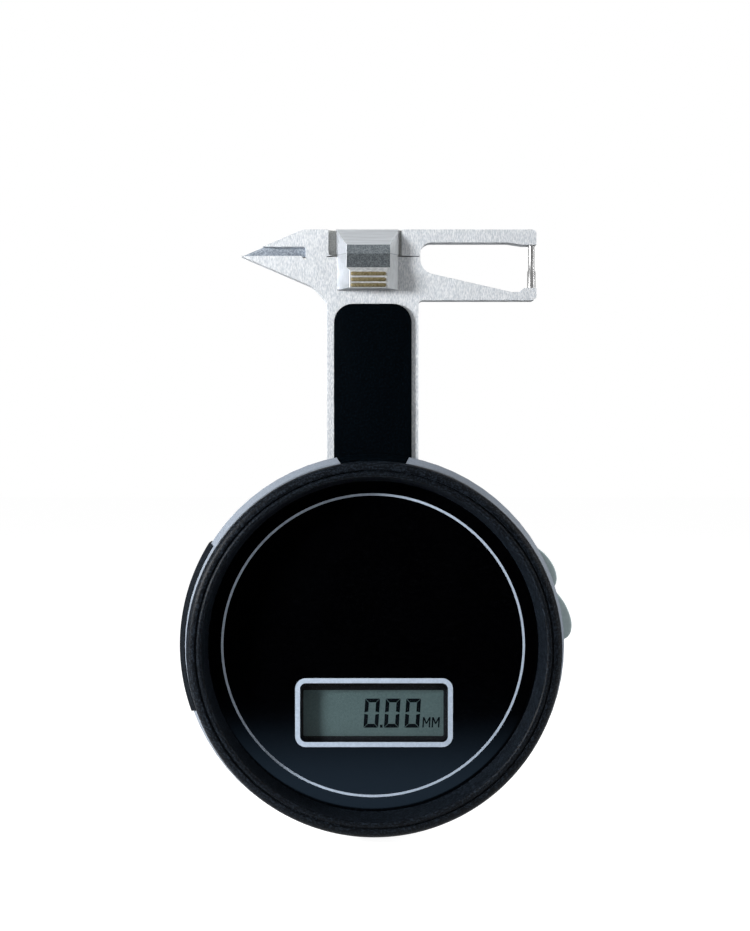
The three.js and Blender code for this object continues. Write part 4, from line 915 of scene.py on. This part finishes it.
lcdGlass = speckledPlastic("lcdGlass", (0.074, 0.118, 0.124), (0.090, 0.141, 0.147), 0.45, 2600.0, 0.3, 0.7,
                           0.004 * mm, 0.2)
lcdInk = speckledPlastic("lcdInk", (0.0008, 0.002, 0.0035), (0.002, 0.004, 0.0065), 0.5, specular=0.02)
maskInk = speckledPlastic("maskInk", (0.004, 0.005, 0.007), (0.010, 0.013, 0.017), 0.4, 2600.0,
                          specular=0.2)
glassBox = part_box("lcd_module")
addPiece("displayGlass", displayGlass(*glassBox), [lcdGlass], "gauge_body", ("lcd_module",),
         display["bevel"] * mm)
addPiece("displayDigits", displayDigits(), [lcdInk], "gauge_body")
addPiece("displayMask", displayMask(*glassBox), [maskInk], "gauge_body")
print("display ready")

# CAD nodes that stay as they are get their finish
cadFinishes = {
    "zebra_upper": zebraRubber, "zebra_lower": zebraRubber, "main_board": boardGreen,
    "processor_chip": chipBlack, "battery_contact_minus": brassSheet, "battery_contact_plus": brassSheet,
    "upper_switch": chipBlack, "lower_switch": chipBlack, "battery_cell": screwSteel,
    "scale_strip": brassSheet, "spring_rod": springSteel}


def finishCadNode(nodeName, material):
    node = nodes[nodeName]
    if not node.material_slots:
        node.data.materials.append(material)
    for slot in node.material_slots:
        slot.material = material


def clearPane():
    material, tree, shader, where = startMaterial("clearPane", {
        "Base Color": (0.02, 0.022, 0.025, 1), "Alpha": 0.06})
    marks = placeGroup(tree, handlingGroup, where, {"Scale": 200.0})
    wire(shader, {"Roughness": remap(tree, marks.outputs["Smears"], *smearRange, 0.03, 0.08)})
    return material


for nodeName, material in cadFinishes.items():
    finishCadNode(nodeName, material)
finishCadNode("display_window", clearPane())
print("CAD finishes ready")

# lamps: place, target, diameter, power; side cards: x, near, far; ceiling: height, reach, front, back
stage = {"floorZ": -36.0 * mm, "floorSize": 6.0, "floorTint": (0.4, 0.4, 0.4, 1), "floorLift": 0.94,
         "worldFill": 0.13, "camera": (-9.3 * mm, -291.1 * mm, 33.8 * mm), "lens": 57.5, "sensor": 36,
         "shiftX": 0.0552, "cardNear": -0.045, "cardFull": -0.155, "cardFar": -0.75, "cardTop": 0.9,
         "cardHalfWidth": 0.9, "cardGap": 0.4 * mm, "cardFade": 1 * mm, "blackTop": 0.045,
         "greyFrom": 0.085, "greyLevel": 0.38, "greyFade": (0.1, 0.2),
         "sideCards": ((0.42, -0.12, 0.40), (-0.42, -0.10, 0.03), (-0.42, 0.12, 0.40)),
         "rearLift": 2 * mm, "rearNear": 0.05, "rearFar": 2.4, "ceiling": (0.55, 0.45, -0.07, 0.3),
         "lamps": {"leftSoftbox": ((-0.30, -0.165, 0.102), (0, 0, 0.05), 0.08, 2.35),
                   "rightSoftbox": ((0.55, -0.015, 0.25), (0, 0, 0.02), 0.4, 3.5)}}


def buildFloor():
    bpy.ops.mesh.primitive_plane_add(size=stage["floorSize"], location=(0, 0, stage["floorZ"]))
    floor = bpy.context.object
    floor.name = "floor"
    material, tree, shader = startMaterial("paleFloor", {
        "Base Color": stage["floorTint"], "Roughness": 0.9, "Specular IOR Level": 0.0,
        "Emission Color": (1, 1, 1, 1)})[:3]
    seen = raysSeen(tree, "Is Camera Ray", "Is Glossy Ray")
    wire(shader, {"Emission Strength": calculate(tree, "MULTIPLY", seen, stage["floorLift"])})
    floor.data.materials.append(material)


def cardMaterial(level):
    # black low down and grey above; the part on the floor fades in away from the gauge
    s = stage
    material = bpy.data.materials.new("darkCard")
    material.use_nodes = True
    tree = material.node_tree
    tree.nodes.remove(tree.nodes["Principled BSDF"])
    where = axesOf(tree, addNode(tree, "ShaderNodeTexCoord").outputs["Object"])
    ahead = remap(tree, where["Y"], s["cardFull"], s["cardNear"], 1.0, 0.0, True)
    raised = remap(tree, where["Z"], level, level + s["cardFade"], 0.0, 1.0)
    upper = remap(tree, where["Z"], s["blackTop"], s["greyFrom"], 0.0, s["greyLevel"], True)
    fadeFrom, fadeTo = s["greyFade"]
    distant = remap(tree, where["Y"], s["cardFar"] + fadeFrom, s["cardFar"] + fadeTo, 1.0, 0.0)
    glow = addNode(tree, "ShaderNodeEmission", {"Strength": calculate(tree, "MULTIPLY", upper, distant)})
    clear = addNode(tree, "ShaderNodeBsdfTransparent")
    both = addNode(tree, "ShaderNodeMixShader", {
        0: calculate(tree, "MAXIMUM", ahead, raised), 1: clear.outputs[0], 2: glow.outputs[0]})
    wire(tree.nodes["Material Output"], {"Surface": both.outputs[0]})
    return material


def buildDarkCard():
    # studio cards round the gauge that only reflections see
    s = stage
    half, top, level = s["cardHalfWidth"], s["cardTop"], s["floorZ"] + s["cardGap"]
    bm = bmesh.new()
    rows = [[bm.verts.new((x, y, z)) for x in (-half, half)]
            for y, z in ((s["cardNear"], level), (s["cardFar"], level), (s["cardFar"], top))]
    for near, far in zip(rows, rows[1:]):
        bm.faces.new((near[0], near[1], far[1], far[0]))
    for x, near, far in s["sideCards"]:
        bm.faces.new([bm.verts.new((x, y, z))
                      for y, z in ((near, level), (far, level), (far, top), (near, top))])
    # a strip on the floor behind and a card overhead, which the edges reflect as dark lines
    for z, x, front, back in ((level + s["rearLift"], half, s["rearNear"], s["rearFar"]), s["ceiling"]):
        bm.faces.new([bm.verts.new((side * x, y, z))
                      for side, y in ((-1, front), (1, front), (1, back), (-1, back))])
    mesh = bpy.data.meshes.new("darkCard")
    bm.to_mesh(mesh)
    bm.free()
    mesh.materials.append(cardMaterial(level))
    card = bpy.data.objects.new("darkCard", mesh)
    scene.collection.objects.link(card)
    for kind in ("camera", "diffuse", "transmission", "volume_scatter", "shadow"):
        setattr(card, "visible_" + kind, False)


def buildWorld():
    world = bpy.data.worlds.new("studio")
    scene.world = world
    world.use_nodes = True
    tree = world.node_tree
    seen = raysSeen(tree, "Is Camera Ray", "Is Glossy Ray", "Is Transmission Ray")
    wire(tree.nodes["Background"], {
        "Color": (1, 1, 1, 1), "Strength": remap(tree, seen, 0.0, 1.0, stage["worldFill"], 1.0)})


def addLamp(name, place, target, size, power):
    data = bpy.data.lights.new(name, "AREA")
    data.shape = "DISK"
    data.size = size
    data.energy = power
    lamp = bpy.data.objects.new(name, data)
    scene.collection.objects.link(lamp)
    lamp.location = place
    direction = Vector(target) - Vector(place)
    lamp.rotation_euler = direction.to_track_quat("-Z", "Y").to_euler()


def buildCamera():
    data = bpy.data.cameras.new("photoCamera")
    data.sensor_width = stage["sensor"]
    data.lens = stage["lens"]
    data.shift_x = stage["shiftX"]
    camera = bpy.data.objects.new("photoCamera", data)
    scene.collection.objects.link(camera)
    camera.location = stage["camera"]
    camera.rotation_euler = (math.radians(90), 0, 0)
    scene.camera = camera


buildFloor()
buildDarkCard()
buildWorld()
buildCamera()
for lampName, (place, target, size, power) in stage["lamps"].items():
    addLamp(lampName, place, target, size, power)
scene.view_settings.view_transform = "Standard"
print("stage ready")
